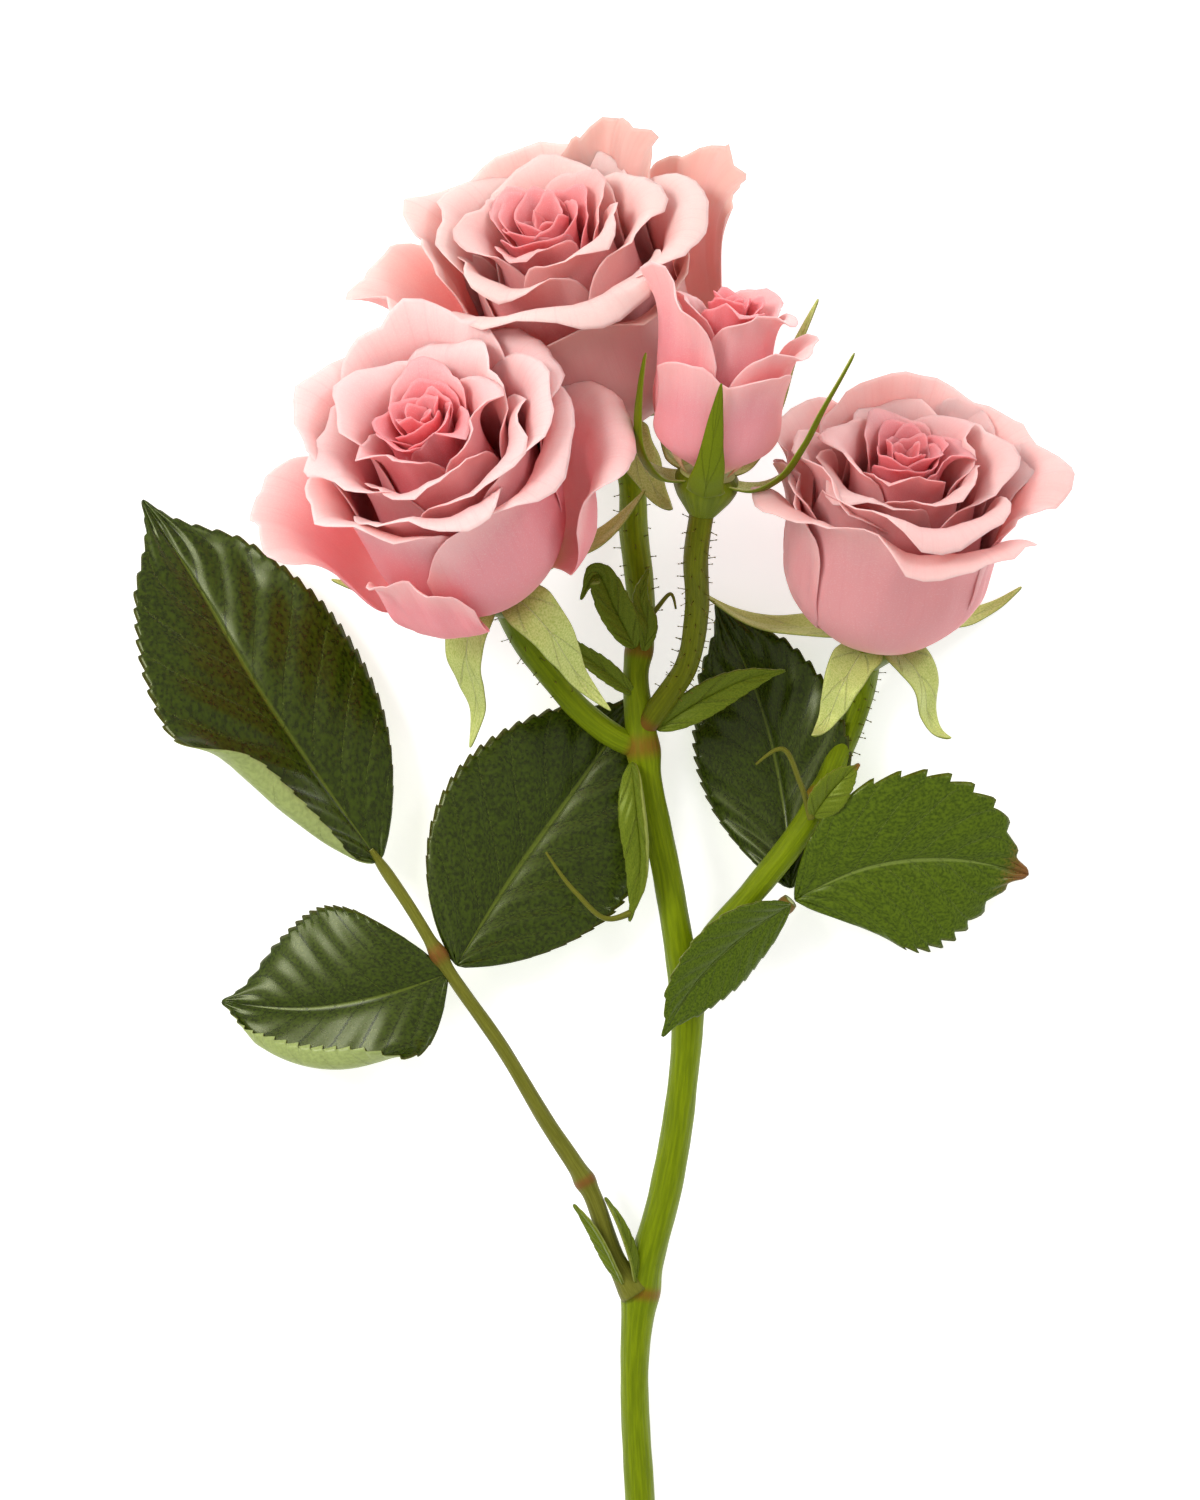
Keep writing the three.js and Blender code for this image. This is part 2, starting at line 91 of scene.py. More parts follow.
def ripple(x, y, seed):
    """Smooth irregular values around 0, at most about 1."""
    return (
        np.sin(2.1 * x + 1.3 * y + seed)
        + 0.6 * np.sin(4.3 * x - 2.2 * y + 2.3 * seed)
        + 0.35 * np.sin(8.9 * x + 3.1 * y + 4.1 * seed)
    ) / 1.95


# ---- Meshes ----


def grid_quads(rows, columns, closed=False):
    """Quads of a grid of vertices, with its last column joined to its first if closed."""
    wrap = columns if closed else columns - 1
    i, j = np.meshgrid(np.arange(rows - 1), np.arange(wrap), indexing="ij")
    k = (j + 1) % columns
    quads = np.stack([i * columns + j, i * columns + k, (i + 1) * columns + k, (i + 1) * columns + j], -1)
    return quads.reshape(-1, 4)


def add_piece(name, points, faces, material, slot, nodes, **attributes):
    """A smooth-shaded mesh object that rides on the root body and stands for some CAD nodes."""
    mesh = bpy.data.meshes.new(name)
    mesh.from_pydata(place(points).tolist(), [], [list(map(int, face)) for face in faces])
    for label, values in attributes.items():
        data = mesh.attributes.new(label, "FLOAT_VECTOR", "POINT").data
        data.foreach_set("vector", np.ascontiguousarray(values, np.float32).ravel())
    mesh.polygons.foreach_set("use_smooth", [True] * len(mesh.polygons))
    mesh.materials.append(material)
    mesh.update()
    piece = bpy.data.objects.new(name, mesh)
    bpy.context.scene.collection.objects.link(piece)
    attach(piece, "root")
    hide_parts(*nodes)
    return piece


RIM_SHARE = 0.35  # how thick a sheet is at its rim, against its middle


def closed_sheet(middle, thickness):
    """Vertices and faces of a closed sheet around a grid of points. Its front faces across x along."""
    rows, columns = middle.shape[:2]
    across = np.gradient(middle, axis=1)
    along = np.gradient(middle, axis=0)
    normal = unit(np.cross(across, along))
    edge_row = np.minimum(np.arange(rows), np.arange(rows)[::-1])[:, None]
    edge_column = np.minimum(np.arange(columns), np.arange(columns)[::-1])[None, :]
    inset = np.clip(np.minimum(edge_row, edge_column) / 2, 0, 1)
    half = 0.5 * thickness * mix(RIM_SHARE, 1.0, np.sqrt(inset))[..., None]
    front = (middle + normal * half).reshape(-1, 3)
    back = (middle - normal * half).reshape(-1, 3)
    points = np.concatenate([front, back])
    quads = grid_quads(rows, columns)
    count = rows * columns
    index = np.arange(count).reshape(rows, columns)
    border = np.concatenate([index[0, :-1], index[:-1, -1], index[-1, :0:-1], index[:0:-1, 0]])
    after = np.roll(border, -1)
    rim = np.stack([after, border, border + count, after + count], -1)
    return points, np.concatenate([quads, quads[:, ::-1] + count, rim])


def sheet_piece(name, middle, thickness, marks, material, slot, nodes):
    """A closed sheet as a piece. marks are (across, along, kind) at each point, and side is 1 in front."""
    points, faces = closed_sheet(middle, thickness)
    flat = marks.reshape(-1, 3)
    back = np.zeros_like(flat)
    front = back.copy()
    front[:, 0] = 1
    return add_piece(
        name,
        points,
        faces,
        material,
        slot,
        nodes,
        spot=np.concatenate([flat, flat]),
        side=np.concatenate([front, back]),
    )


def tube_grid(rows, sides, steps, start=(-1, 0, 0)):
    """Shares, centres, radii, tangents, rings of unit normals and their angles, along some rows."""
    share = np.linspace(0, 1, steps + 1)
    line = spline(rows, share)
    centres, radii = line[:, :3], line[:, 3]
    tangents = unit(np.gradient(centres, axis=0))
    normals = np.zeros_like(centres)
    normal = np.array(start, float)
    for i, tangent in enumerate(tangents):
        normal = unit(normal - tangent * np.dot(normal, tangent))
        normals[i] = normal
    binormals = np.cross(tangents, normals)
    angle = np.linspace(0, 2 * math.pi, sides, endpoint=False)
    cosine, sine = np.cos(angle)[None, :, None], np.sin(angle)[None, :, None]
    ring = normals[:, None] * cosine + binormals[:, None] * sine
    return share, centres, radii, tangents, ring, angle


STREAK_UNIT = 10  # millimetres of stem for each 1 of its second mark
CUT_MARK = -1  # the third mark on the middle of a stem's end, where the shader shows cut wood


def tube_piece(name, rows, sides, steps, material, slot, nodes, slant=0.0, bumps=(), blush=()):
    """A closed stem. rows are [x, y, z, radius], bumps (share, height, reach) and blush (share, reach)."""
    share, centres, radii, tangents, ring, angle = tube_grid(rows, sides, steps)
    length = np.linalg.norm(np.diff(centres, axis=0), axis=1).sum()
    along = share * length
    radius = radii[:, None] * (1 + 0.035 * ripple(0.12 * along[:, None], 2 * np.sin(angle)[None], 1.0))
    for where, height, reach in bumps:
        radius = radius + height * np.exp(-(((along[:, None] - where * length) / reach) ** 2))
    points = centres[:, None] + ring * radius[..., None]
    points[0] += tangents[0] * (slant * radii[0] * np.cos(angle))[:, None]
    red = np.zeros_like(share)
    for where, reach in blush:
        red = np.maximum(red, np.exp(-(((along - where * length) / reach) ** 2)))
    count = points.shape[0] * sides
    mesh_points = np.concatenate([points.reshape(-1, 3), centres[[0, -1]]])
    quads = [tuple(q) for q in grid_quads(len(share), sides, closed=True)]
    first = [(count, (j + 1) % sides, j) for j in range(sides)]
    base = (len(share) - 1) * sides
    last = [(count + 1, base + j, base + (j + 1) % sides) for j in range(sides)]
    turn = angle[None] / (2 * math.pi)
    spot = np.stack(np.broadcast_arrays(turn, along[:, None] / STREAK_UNIT, red[:, None]), -1)
    spot = np.concatenate([spot.reshape(-1, 3), [[0, 0, CUT_MARK], [0, length / STREAK_UNIT, CUT_MARK]]])
    return add_piece(name, mesh_points, quads + first + last, material, slot, nodes, spot=spot)


# ---- Materials ----


class Shader:
    """A material's node tree with short ways to add and join nodes."""

    def __init__(self, name, **principled):
        self.material = bpy.data.materials.new(name)
        self.material.use_nodes = True
        self.tree = self.material.node_tree
        self.surface = self.tree.nodes["Principled BSDF"]
        for label, value in principled.items():
            self.surface.inputs[label.replace("_", " ")].default_value = value

    def join(self, value, socket):
        if isinstance(value, bpy.types.NodeSocket):
            self.tree.links.new(value, socket)
        else:
            socket.default_value = value

    def node(self, kind, output=0, settings=(), **inputs):
        made = self.tree.nodes.new(kind)
        for label, value in dict(settings).items():
            setattr(made, label, value)
        for label, value in inputs.items():
            key = int(label[1:]) if label[0] == "i" and label[1:].isdigit() else label.replace("_", " ")
            self.join(value, made.inputs[key])
        return made.outputs[output]

    def math(self, operation, a, b=0.0, clamp=False):
        return self.node("ShaderNodeMath", settings={"operation": operation, "use_clamp": clamp}, i0=a, i1=b)

    def attribute(self, name):
        vector = self.node("ShaderNodeAttribute", "Vector", {"attribute_name": name})
        split = self.tree.nodes.new("ShaderNodeSeparateXYZ")
        self.join(vector, split.inputs[0])
        return split.outputs

    def blend(self, share, a, b, mode="MIX"):
        made = self.tree.nodes.new("ShaderNodeMix")
        made.data_type = "RGBA"
        made.blend_type = mode
        self.join(share, made.inputs[0])
        self.join(a, made.inputs[6])
        self.join(b, made.inputs[7])
        return made.outputs[2]

    def noise(self, scale, detail=2.0, vector=None, roughness=0.5):
        inputs = {"Scale": scale, "Detail": detail, "Roughness": roughness}
        if vector is not None:
            inputs["Vector"] = vector
        return self.node("ShaderNodeTexNoise", "Fac", **inputs)

    def combine(self, x, y, z):
        return self.node("ShaderNodeCombineXYZ", X=x, Y=y, Z=z)

    def range(self, value, low, high, to_low=0.0, to_high=1.0, kind="SMOOTHSTEP"):
        return self.node(
            "ShaderNodeMapRange",
            settings={"interpolation_type": kind},
            Value=value,
            From_Min=low,
            From_Max=high,
            To_Min=to_low,
            To_Max=to_high,
        )

    def bump(self, height, distance, strength=1.0, normal=None):
        made = self.tree.nodes.new("ShaderNodeBump")
        made.inputs["Distance"].default_value = distance
        made.inputs["Strength"].default_value = strength
        self.join(height, made.inputs["Height"])
        if normal is not None:
            self.join(normal, made.inputs["Normal"])
        return made.outputs[0]


def colour(red, green, blue):
    """A colour given as sRGB shares of 255, as the linear colour that a shader takes."""
    shares = (red / 255, green / 255, blue / 255)
    linear = [c / 12.92 if c <= 0.04045 else ((c + 0.055) / 1.055) ** 2.4 for c in shares]
    return (*linear, 1.0)


def petal_material(name, foot, middle, rim, deep):
    """Pink petals, paler at the rolled rim, with fine veins, and with painted shade: deeper pink towards the
    heart, towards the foot of the inner petals and on their inner faces.
    """
    made = Shader(
        name,
        Roughness=0.52,
        Subsurface_Weight=0.4,
        Subsurface_Scale=0.0026,
        Subsurface_Radius=(1.0, 0.4, 0.36),
        Specular_IOR_Level=0.25,
        Specular_Tint=(1.0, 0.72, 0.72, 1.0),
    )
    across, along, layer = made.attribute("spot")
    inside = made.attribute("side")[0]
    fan = made.combine(made.math("MULTIPLY", across, 26.0), made.math("MULTIPLY", along, 2.2), layer)
    veins = made.noise(1.6, 3.0, fan, 0.6)
    cloud = made.noise(130.0, 3.0)
    speck = made.noise(900.0, 2.0)
    body = made.blend(made.range(along, 0.02, 0.34), colour(*foot), colour(*middle))
    # Painted shade: the inner layers, down in the heart, turn deep pink.
    body = made.blend(made.range(layer, 0.5, -0.02, 0.0, 0.85), body, colour(*deep))
    # Painted shade: the lower part of the inner petals, in the wells between them, turns deep pink, more on
    # the inner faces.
    low = made.math("MULTIPLY", made.range(along, 0.86, 0.36), made.range(layer, 0.97, 0.5))
    low = made.math("MULTIPLY", low, made.range(inside, 0.0, 1.0, 0.45, 0.85))
    body = made.blend(low, body, colour(*deep))
    edge = made.range(made.math("ADD", along, made.math("MULTIPLY", cloud, 0.12)), 0.78, 1.08)
    edge = made.math("MULTIPLY", edge, made.range(layer, -0.1, 0.6, 0.3, 0.85))
    body = made.blend(edge, body, colour(*rim))
    # Painted shade: every inner face, turned into the bloom, is mixed a little towards the deep pink.
    inner = made.math("MULTIPLY", inside, 0.22)
    body = made.blend(inner, body, colour(*deep))
    vein_mask = made.math("MULTIPLY", made.range(veins, 0.5, 0.8), 0.1)
    body = made.blend(vein_mask, body, colour(*deep))
    pale_mask = made.math("MULTIPLY", made.range(cloud, 0.52, 0.8), 0.35)
    body = made.blend(pale_mask, body, colour(*rim))
    made.join(body, made.surface.inputs["Base Color"])
    fine = made.bump(speck, 0.00003, 0.5)
    made.join(made.bump(veins, 0.0001, 0.4, fine), made.surface.inputs["Normal"])
    return made.material


LEAF_MARGIN = colour(96, 78, 24)
LEAF_BROWN = colour(122, 78, 40)
UNDERSIDE_ROUGHNESS = 0.62


def leaf_material(name, dark, light, vein, under, gloss=0.3, coat=0.05, veins=3.0):
    """A glossy dark leaf with a pale midrib, side veins that run forward, and a pale matte underside."""
    made = Shader(
        name,
        Roughness=0.34,
        Subsurface_Weight=0.06,
        Subsurface_Scale=0.001,
        Subsurface_Radius=(0.4, 0.6, 0.1),
        Specular_IOR_Level=gloss,
        Specular_Tint=(0.75, 0.9, 0.2, 1.0),
        Coat_Weight=coat,
        Coat_Roughness=0.24,
    )
    across, along, browning = made.attribute("spot")
    top = made.attribute("side")[0]
    away = made.math("ABSOLUTE", across)
    bend = made.math("MULTIPLY", made.math("POWER", away, 0.8), 0.3)
    rank = made.math("MULTIPLY", made.math("SUBTRACT", along, bend), veins)
    wobble = made.math("MULTIPLY", made.noise(90.0, 1.0), 0.16)
    phase = made.math("FRACT", made.math("ADD", rank, wobble))
    off_vein = made.math("ABSOLUTE", made.math("SUBTRACT", phase, 0.5))
    fading = made.range(away, 1.0, 0.75, 0.15, 1.0)
    side_vein = made.math("MULTIPLY", made.range(off_vein, 0.455, 0.5), fading)
    midrib = made.range(away, 0.04, 0.01)
    network = made.node("ShaderNodeTexVoronoi", "Distance", {"feature": "DISTANCE_TO_EDGE"}, Scale=620.0)
    cells = made.range(network, 0.12, 0.0)
    cloud = made.noise(60.0, 1.5)
    green = made.blend(made.range(cloud, 0.3, 0.7), colour(*dark), colour(*light))
    green = made.blend(made.math("MULTIPLY", cells, 0.05), green, colour(*vein))
    green = made.blend(made.math("MULTIPLY", side_vein, 0.16), green, colour(*vein))
    green = made.blend(made.math("MULTIPLY", midrib, 0.6), green, colour(*vein))
    margin = made.math("MULTIPLY", made.range(away, 0.95, 1.0), 0.3)
    green = made.blend(margin, green, LEAF_MARGIN)
    ragged = made.math("ADD", along, made.math("MULTIPLY", cloud, 0.16))
    brown = made.math("MULTIPLY", made.range(ragged, 0.95, 1.06), browning)
    green = made.blend(brown, green, LEAF_BROWN)
    shaded = colour(*[channel * 0.9 for channel in under])
    lit = colour(*[channel * 1.12 for channel in under])
    pale = made.blend(made.range(cloud, 0.3, 0.7), colour(*under), shaded)
    pale = made.blend(made.math("MULTIPLY", cells, 0.25), pale, lit)
    made.join(made.blend(top, pale, green), made.surface.inputs["Base Color"])
    shine = made.range(cloud, 0.3, 0.7, 0.26, 0.4)
    number = {"data_type": "FLOAT"}
    dull = made.node("ShaderNodeMix", settings=number, i0=top, i2=UNDERSIDE_ROUGHNESS, i3=shine)
    made.join(dull, made.surface.inputs["Roughness"])
    ridges = made.math("ADD", made.math("MULTIPLY", side_vein, -0.9), made.math("MULTIPLY", midrib, -1.2))
    fine = made.bump(made.noise(1500.0, 2.0), 0.00002, 0.25)
    made.join(made.bump(ridges, 0.0002, 0.75, fine), made.surface.inputs["Normal"])
    return made.material


STEM_PORES = colour(158, 150, 84)
CUT_WOOD = colour(186, 196, 122)


def stem_material(name, green, dark, red, gloss=0.42):
    """A green stem with lengthwise streaks, pores and a red-brown blush at its joints."""
    made = Shader(
        name,
        Roughness=gloss,
        Subsurface_Weight=0.08,
        Subsurface_Scale=0.001,
        Subsurface_Radius=(0.5, 0.7, 0.1),
        Specular_IOR_Level=0.35,
        Specular_Tint=(0.8, 0.9, 0.2, 1.0),
    )
    around, along, blush = made.attribute("spot")
    turn = made.math("MULTIPLY", around, 2 * math.pi)
    streak_at = made.combine(
        made.math("MULTIPLY", made.math("COSINE", turn), 2.2),
        made.math("MULTIPLY", made.math("SINE", turn), 2.2),
        made.math("MULTIPLY", along, 0.55),
    )
    streaks = made.noise(2.4, 4.0, streak_at, 0.6)
    cloud = made.noise(60.0, 3.0)
    body = made.blend(made.range(streaks, 0.34, 0.66), colour(*dark), colour(*green))
    body = made.blend(made.math("MULTIPLY", made.range(cloud, 0.45, 0.75), 0.4), body, colour(*dark))
    pores = made.node("ShaderNodeTexVoronoi", "Distance", Scale=420.0)
    pore_mask = made.math("MULTIPLY", made.range(pores, 0.16, 0.05), made.range(cloud, 0.48, 0.62))
    body = made.blend(made.math("MULTIPLY", pore_mask, 0.5), body, STEM_PORES)
    streaky = made.range(streaks, 0.2, 0.6, 0.5, 1.0)
    red_mask = made.math("MULTIPLY", made.range(blush, 0.3, 1.2), streaky, True)
    body = made.blend(red_mask, body, colour(*red))
    body = made.blend(made.math("LESS_THAN", blush, -0.02), body, CUT_WOOD)
    made.join(body, made.surface.inputs["Base Color"])
    fine = made.bump(made.noise(1300.0, 2.0), 0.00004, 0.5)
    made.join(made.bump(streaks, 0.00025, 0.55, fine), made.surface.inputs["Normal"])
    return made.material


# Each petal set is foot, middle, rim and deep colour; the deep pink is painted shade for the heart, the
# wells and the inner faces, and also tints the veins.
PETAL = petal_material("petal", (228, 206, 150), (247, 163, 167), (253, 209, 205), (234, 66, 90))
# Painted shade: the bloom on the right takes a darker, more muted copy of the petal colours.
PETAL_RIGHT_SHADED = petal_material("petal_right_shaded", (214, 196, 150), (236, 164, 164), (243, 194, 190), (218, 78, 98))
PETAL_TOP = petal_material("petal_top", (214, 186, 150), (240, 168, 166), (248, 206, 199), (226, 78, 98))
# Tan, faded petal colours: the browning of old petal tips, and also painted shade on the top bloom's belly
# petal.
PETAL_AGED_AND_SHADE = petal_material("petal_aged_and_shade", (208, 180, 150), (224, 166, 162), (212, 174, 163), (200, 102, 110))
LEAF_VEINS = 8.0
LEAF_BACK = (152, 166, 100)
LEAF = leaf_material("leaf", (20, 30, 0), (46, 62, 0), (92, 106, 26), LEAF_BACK, 0.3, 0.3, LEAF_VEINS)
LEAF_BRIGHT = leaf_material(
    "leaf_bright", (52, 70, 2), (78, 98, 8), (124, 140, 66), LEAF_BACK, 0.24, 0.2, LEAF_VEINS
)
BRACT = leaf_material("bract", (78, 96, 18), (104, 118, 28), (150, 158, 70), (140, 150, 74))
SEPAL = leaf_material("sepal", (170, 184, 96), (200, 206, 132), (214, 218, 160), (100, 114, 10))
STEM = stem_material("stem", (116, 134, 6), (94, 112, 4), (120, 78, 24))
STEM_DARK = stem_material("stem_dark", (100, 106, 10), (80, 86, 6), (116, 70, 26))
STALK = stem_material("stalk", (112, 112, 40), (92, 92, 28), (118, 66, 34))
HIP = stem_material("hip", (106, 120, 14), (84, 98, 8), (110, 92, 34))

# ---- Blooms ----
HIP_RADIUS = 5.2
HIP_LENGTH = 6.5
CLAW_RADIUS = 1.2
CLAW_SPREAD = HIP_RADIUS - CLAW_RADIUS - 0.8
CLAW_HEIGHT = 0.6
LIP_START = 0.7  # the share of a petal's length where it starts to roll outwards
LIP_LENGTH = 0.44  # the rolled part's length, against the petal's height
LIP_STEPS = 14
PETAL_THICKNESS = 0.32
PETAL_EDGE_SPACING = 0.86  # below 1, a petal's columns are denser at its edges
CLAW_WIDTH = 0.16  # how wide a petal is at its foot, against its middle


def petal_profile(bloom, petal, t, reflex):
    """How far out and how high a petal is at shares t of its length."""
    layer = petal["layer"]
    height = bloom["height"] * petal["tall"]
    body = np.array(
        [
            (CLAW_RADIUS + CLAW_SPREAD * max(layer, 0), CLAW_HEIGHT + 1.5 * (1 - layer), 0),
            (mix(3.4, bloom["radius"] * 0.62, layer), mix(5.5, 3.4, layer), 0),
            (petal.get("belly", mix(5.4, bloom["radius"] * 0.95, layer)), height * 0.31, 0),
            (petal.get("mid", mix(5.2, bloom["radius"], layer)), height * 0.56, 0),
        ]
    )
    line = spline(body, t / LIP_START)
    out, up = line[..., 0].copy(), line[..., 1].copy()
    share = np.clip((t - LIP_START) / (1 - LIP_START), 0, None)
    stride = height * LIP_LENGTH * share / LIP_STEPS
    for i in range(LIP_STEPS):
        way = (i + 0.5) / LIP_STEPS * share
        angle = np.radians(petal["lean"] + reflex * way ** petal["roll"])
        out += stride * np.sin(angle)
        up += stride * np.cos(angle)
    return out, up


def petal_grid(bloom, petal, across=27, along=36):
    """A petal's middle surface in its bloom's frame, and its (across, along, layer) marks."""
    quarter = math.pi / 2 * PETAL_EDGE_SPACING
    u = np.sin(np.linspace(-1, 1, across) * quarter) / math.sin(quarter)
    v = 1 - (1 - np.linspace(0, 1, along)) ** 1.25
    v, u = np.meshgrid(v, u, indexing="ij")
    seed = petal["wave"]
    side = np.abs(u)
    edge = ripple(2.2 * u, 0 * u, 3 * seed)
    peak = petal["peak"] * np.exp(-((u / 0.2) ** 2))
    rim = 1 - petal["corner_drop"] * side**4 + peak + petal["slope"] * u + 0.012 * petal["frill"] * edge
    t = v * rim
    wavy = 10 * np.sin(3.1 * u + seed) + 6 * np.sin(6.7 * u + 2 * seed) + 9 * ripple(3 * u, 0 * u, seed)
    reflex = petal["reflex"] + petal["corner"] * u**2 + wavy * petal["frill"]
    foot, foot_up = petal_profile(bloom, petal, np.array([0.0]), 0.0)
    out, up = petal_profile(bloom, petal, t, reflex)
    claw = mix(CLAW_WIDTH, 1, smooth(v / 0.62))
    angle = u * math.radians(petal["width"]) * claw
    radius = out * (1 - petal["swirl"] * u * smooth(v / 0.5)) + petal["flare"] * side**2.5 * v**2
    radius = radius + 0.35 * petal["frill"] * ripple(2.6 * u, 3.2 * v, seed) * smooth((v - 0.3) / 0.5)
    tilt = math.radians(petal["open"])
    radial = radius * np.cos(angle) - foot[0]
    sideways = radius * np.sin(angle)
    rise = up - foot_up[0]
    far = foot[0] + radial * math.cos(tilt) + rise * math.sin(tilt)
    high = foot_up[0] - radial * math.sin(tilt) + rise * math.cos(tilt)
    turn = math.radians(petal["azimuth"])
    grid = np.stack(
        [
            far * math.cos(turn) - sideways * math.sin(turn),
            far * math.sin(turn) + sideways * math.cos(turn),
            high,
        ],
        -1,
    )
    layer = np.full_like(u, max(petal["layer"], 0))
    marks = np.stack([u * (petal["width"] / PETAL_DEFAULTS["width"]), v, layer], -1)
    return grid, marks


PETAL_DEFAULTS = {
    "width": 60,
    "tall": 0.96,
    "lean": 2,
    "corner": 20,
    "corner_drop": 0.22,
    "frill": 1.5,
    "peak": 0.02,
    "slope": 0,
    "flare": 0,
    "roll": 2.2,
    "swirl": 0.02,
}


def furled_petals(bloom, count):
    """The small rolled petals in the middle, each wrapped round the one before."""
    petals = []
    wide = 0.35 * bloom["radius"]
    for i in range(count):
        share = i / (count - 1)
        petals.append(
            PETAL_DEFAULTS
            | {
                "azimuth": bloom["turn"] + 40 + i * 131,
                "layer": -0.2 + 0.2 * share,
                "belly": mix(1.5, wide, share**0.8),
                "mid": mix(1.2, wide, share**0.8),
                "width": mix(130, 84, share),
                "tall": 0.965 + 0.022 * math.sin(4.1 * i) + 0.02 * share,
                "lean": mix(-2.5, -5, share),
                "reflex": mix(14, 40, share),
                "roll": 4,
                "corner": 14,
                "frill": 0.6,
                "swirl": 0.14,
                "slope": 0.03 * math.sin(2.7 * i),
                "peak": 0.03,
                "corner_drop": 0.14,
                "open": 0,
                "wave": 1.7 * i + bloom["turn"],
            }
        )
    return petals


def spiral_petals(bloom, count):
    """The petals that follow one another round the spiral, inner ones first."""
    petals = []
    for i in range(count):
        share = i / (count - 1)
        layer = mix(0.1, bloom["last_layer"], share)
        azimuth = bloom["turn"] + i * GOLDEN_ANGLE
        skew = bloom["skew"] * math.cos(math.radians(azimuth))
        petals.append(
            PETAL_DEFAULTS
            | {
                "azimuth": azimuth,
                "layer": layer,
                "width": mix(86, 70, layer),
                "tall": 1.01 - (0.05 + skew) * layer + 0.018 * math.sin(5 * i),
                "lean": mix(-8, 0, layer),
                "reflex": mix(50, 96, layer),
                "roll": mix(4, 3, layer),
                "corner": mix(14, 26, layer),
                "frill": mix(1.2, 2.0, layer),
                "swirl": 0.05,
                "slope": 0.04 * math.sin(3 * i + 1),
                "peak": 0.045,
                "open": 0,
                "wave": 2.1 * i,
            }
        )
    return petals


def outer_petal(azimuth, layer, open_, reflex, **changes):
    """An outer petal as listed: its azimuth, layer (1 is outermost), and degrees opened and rolled."""
    return (
        PETAL_DEFAULTS
        | {"azimuth": azimuth, "layer": layer, "open": open_, "reflex": reflex, "wave": azimuth / 40}
        | changes
    )


FLARED = {"belly": 15, "mid": 15.2, "lean": 0, "flare": 3.5, "corner": 50, "corner_drop": 0.04}
AGED_BACK = {"corner_drop": 0.1, "material": PETAL_AGED_AND_SHADE}
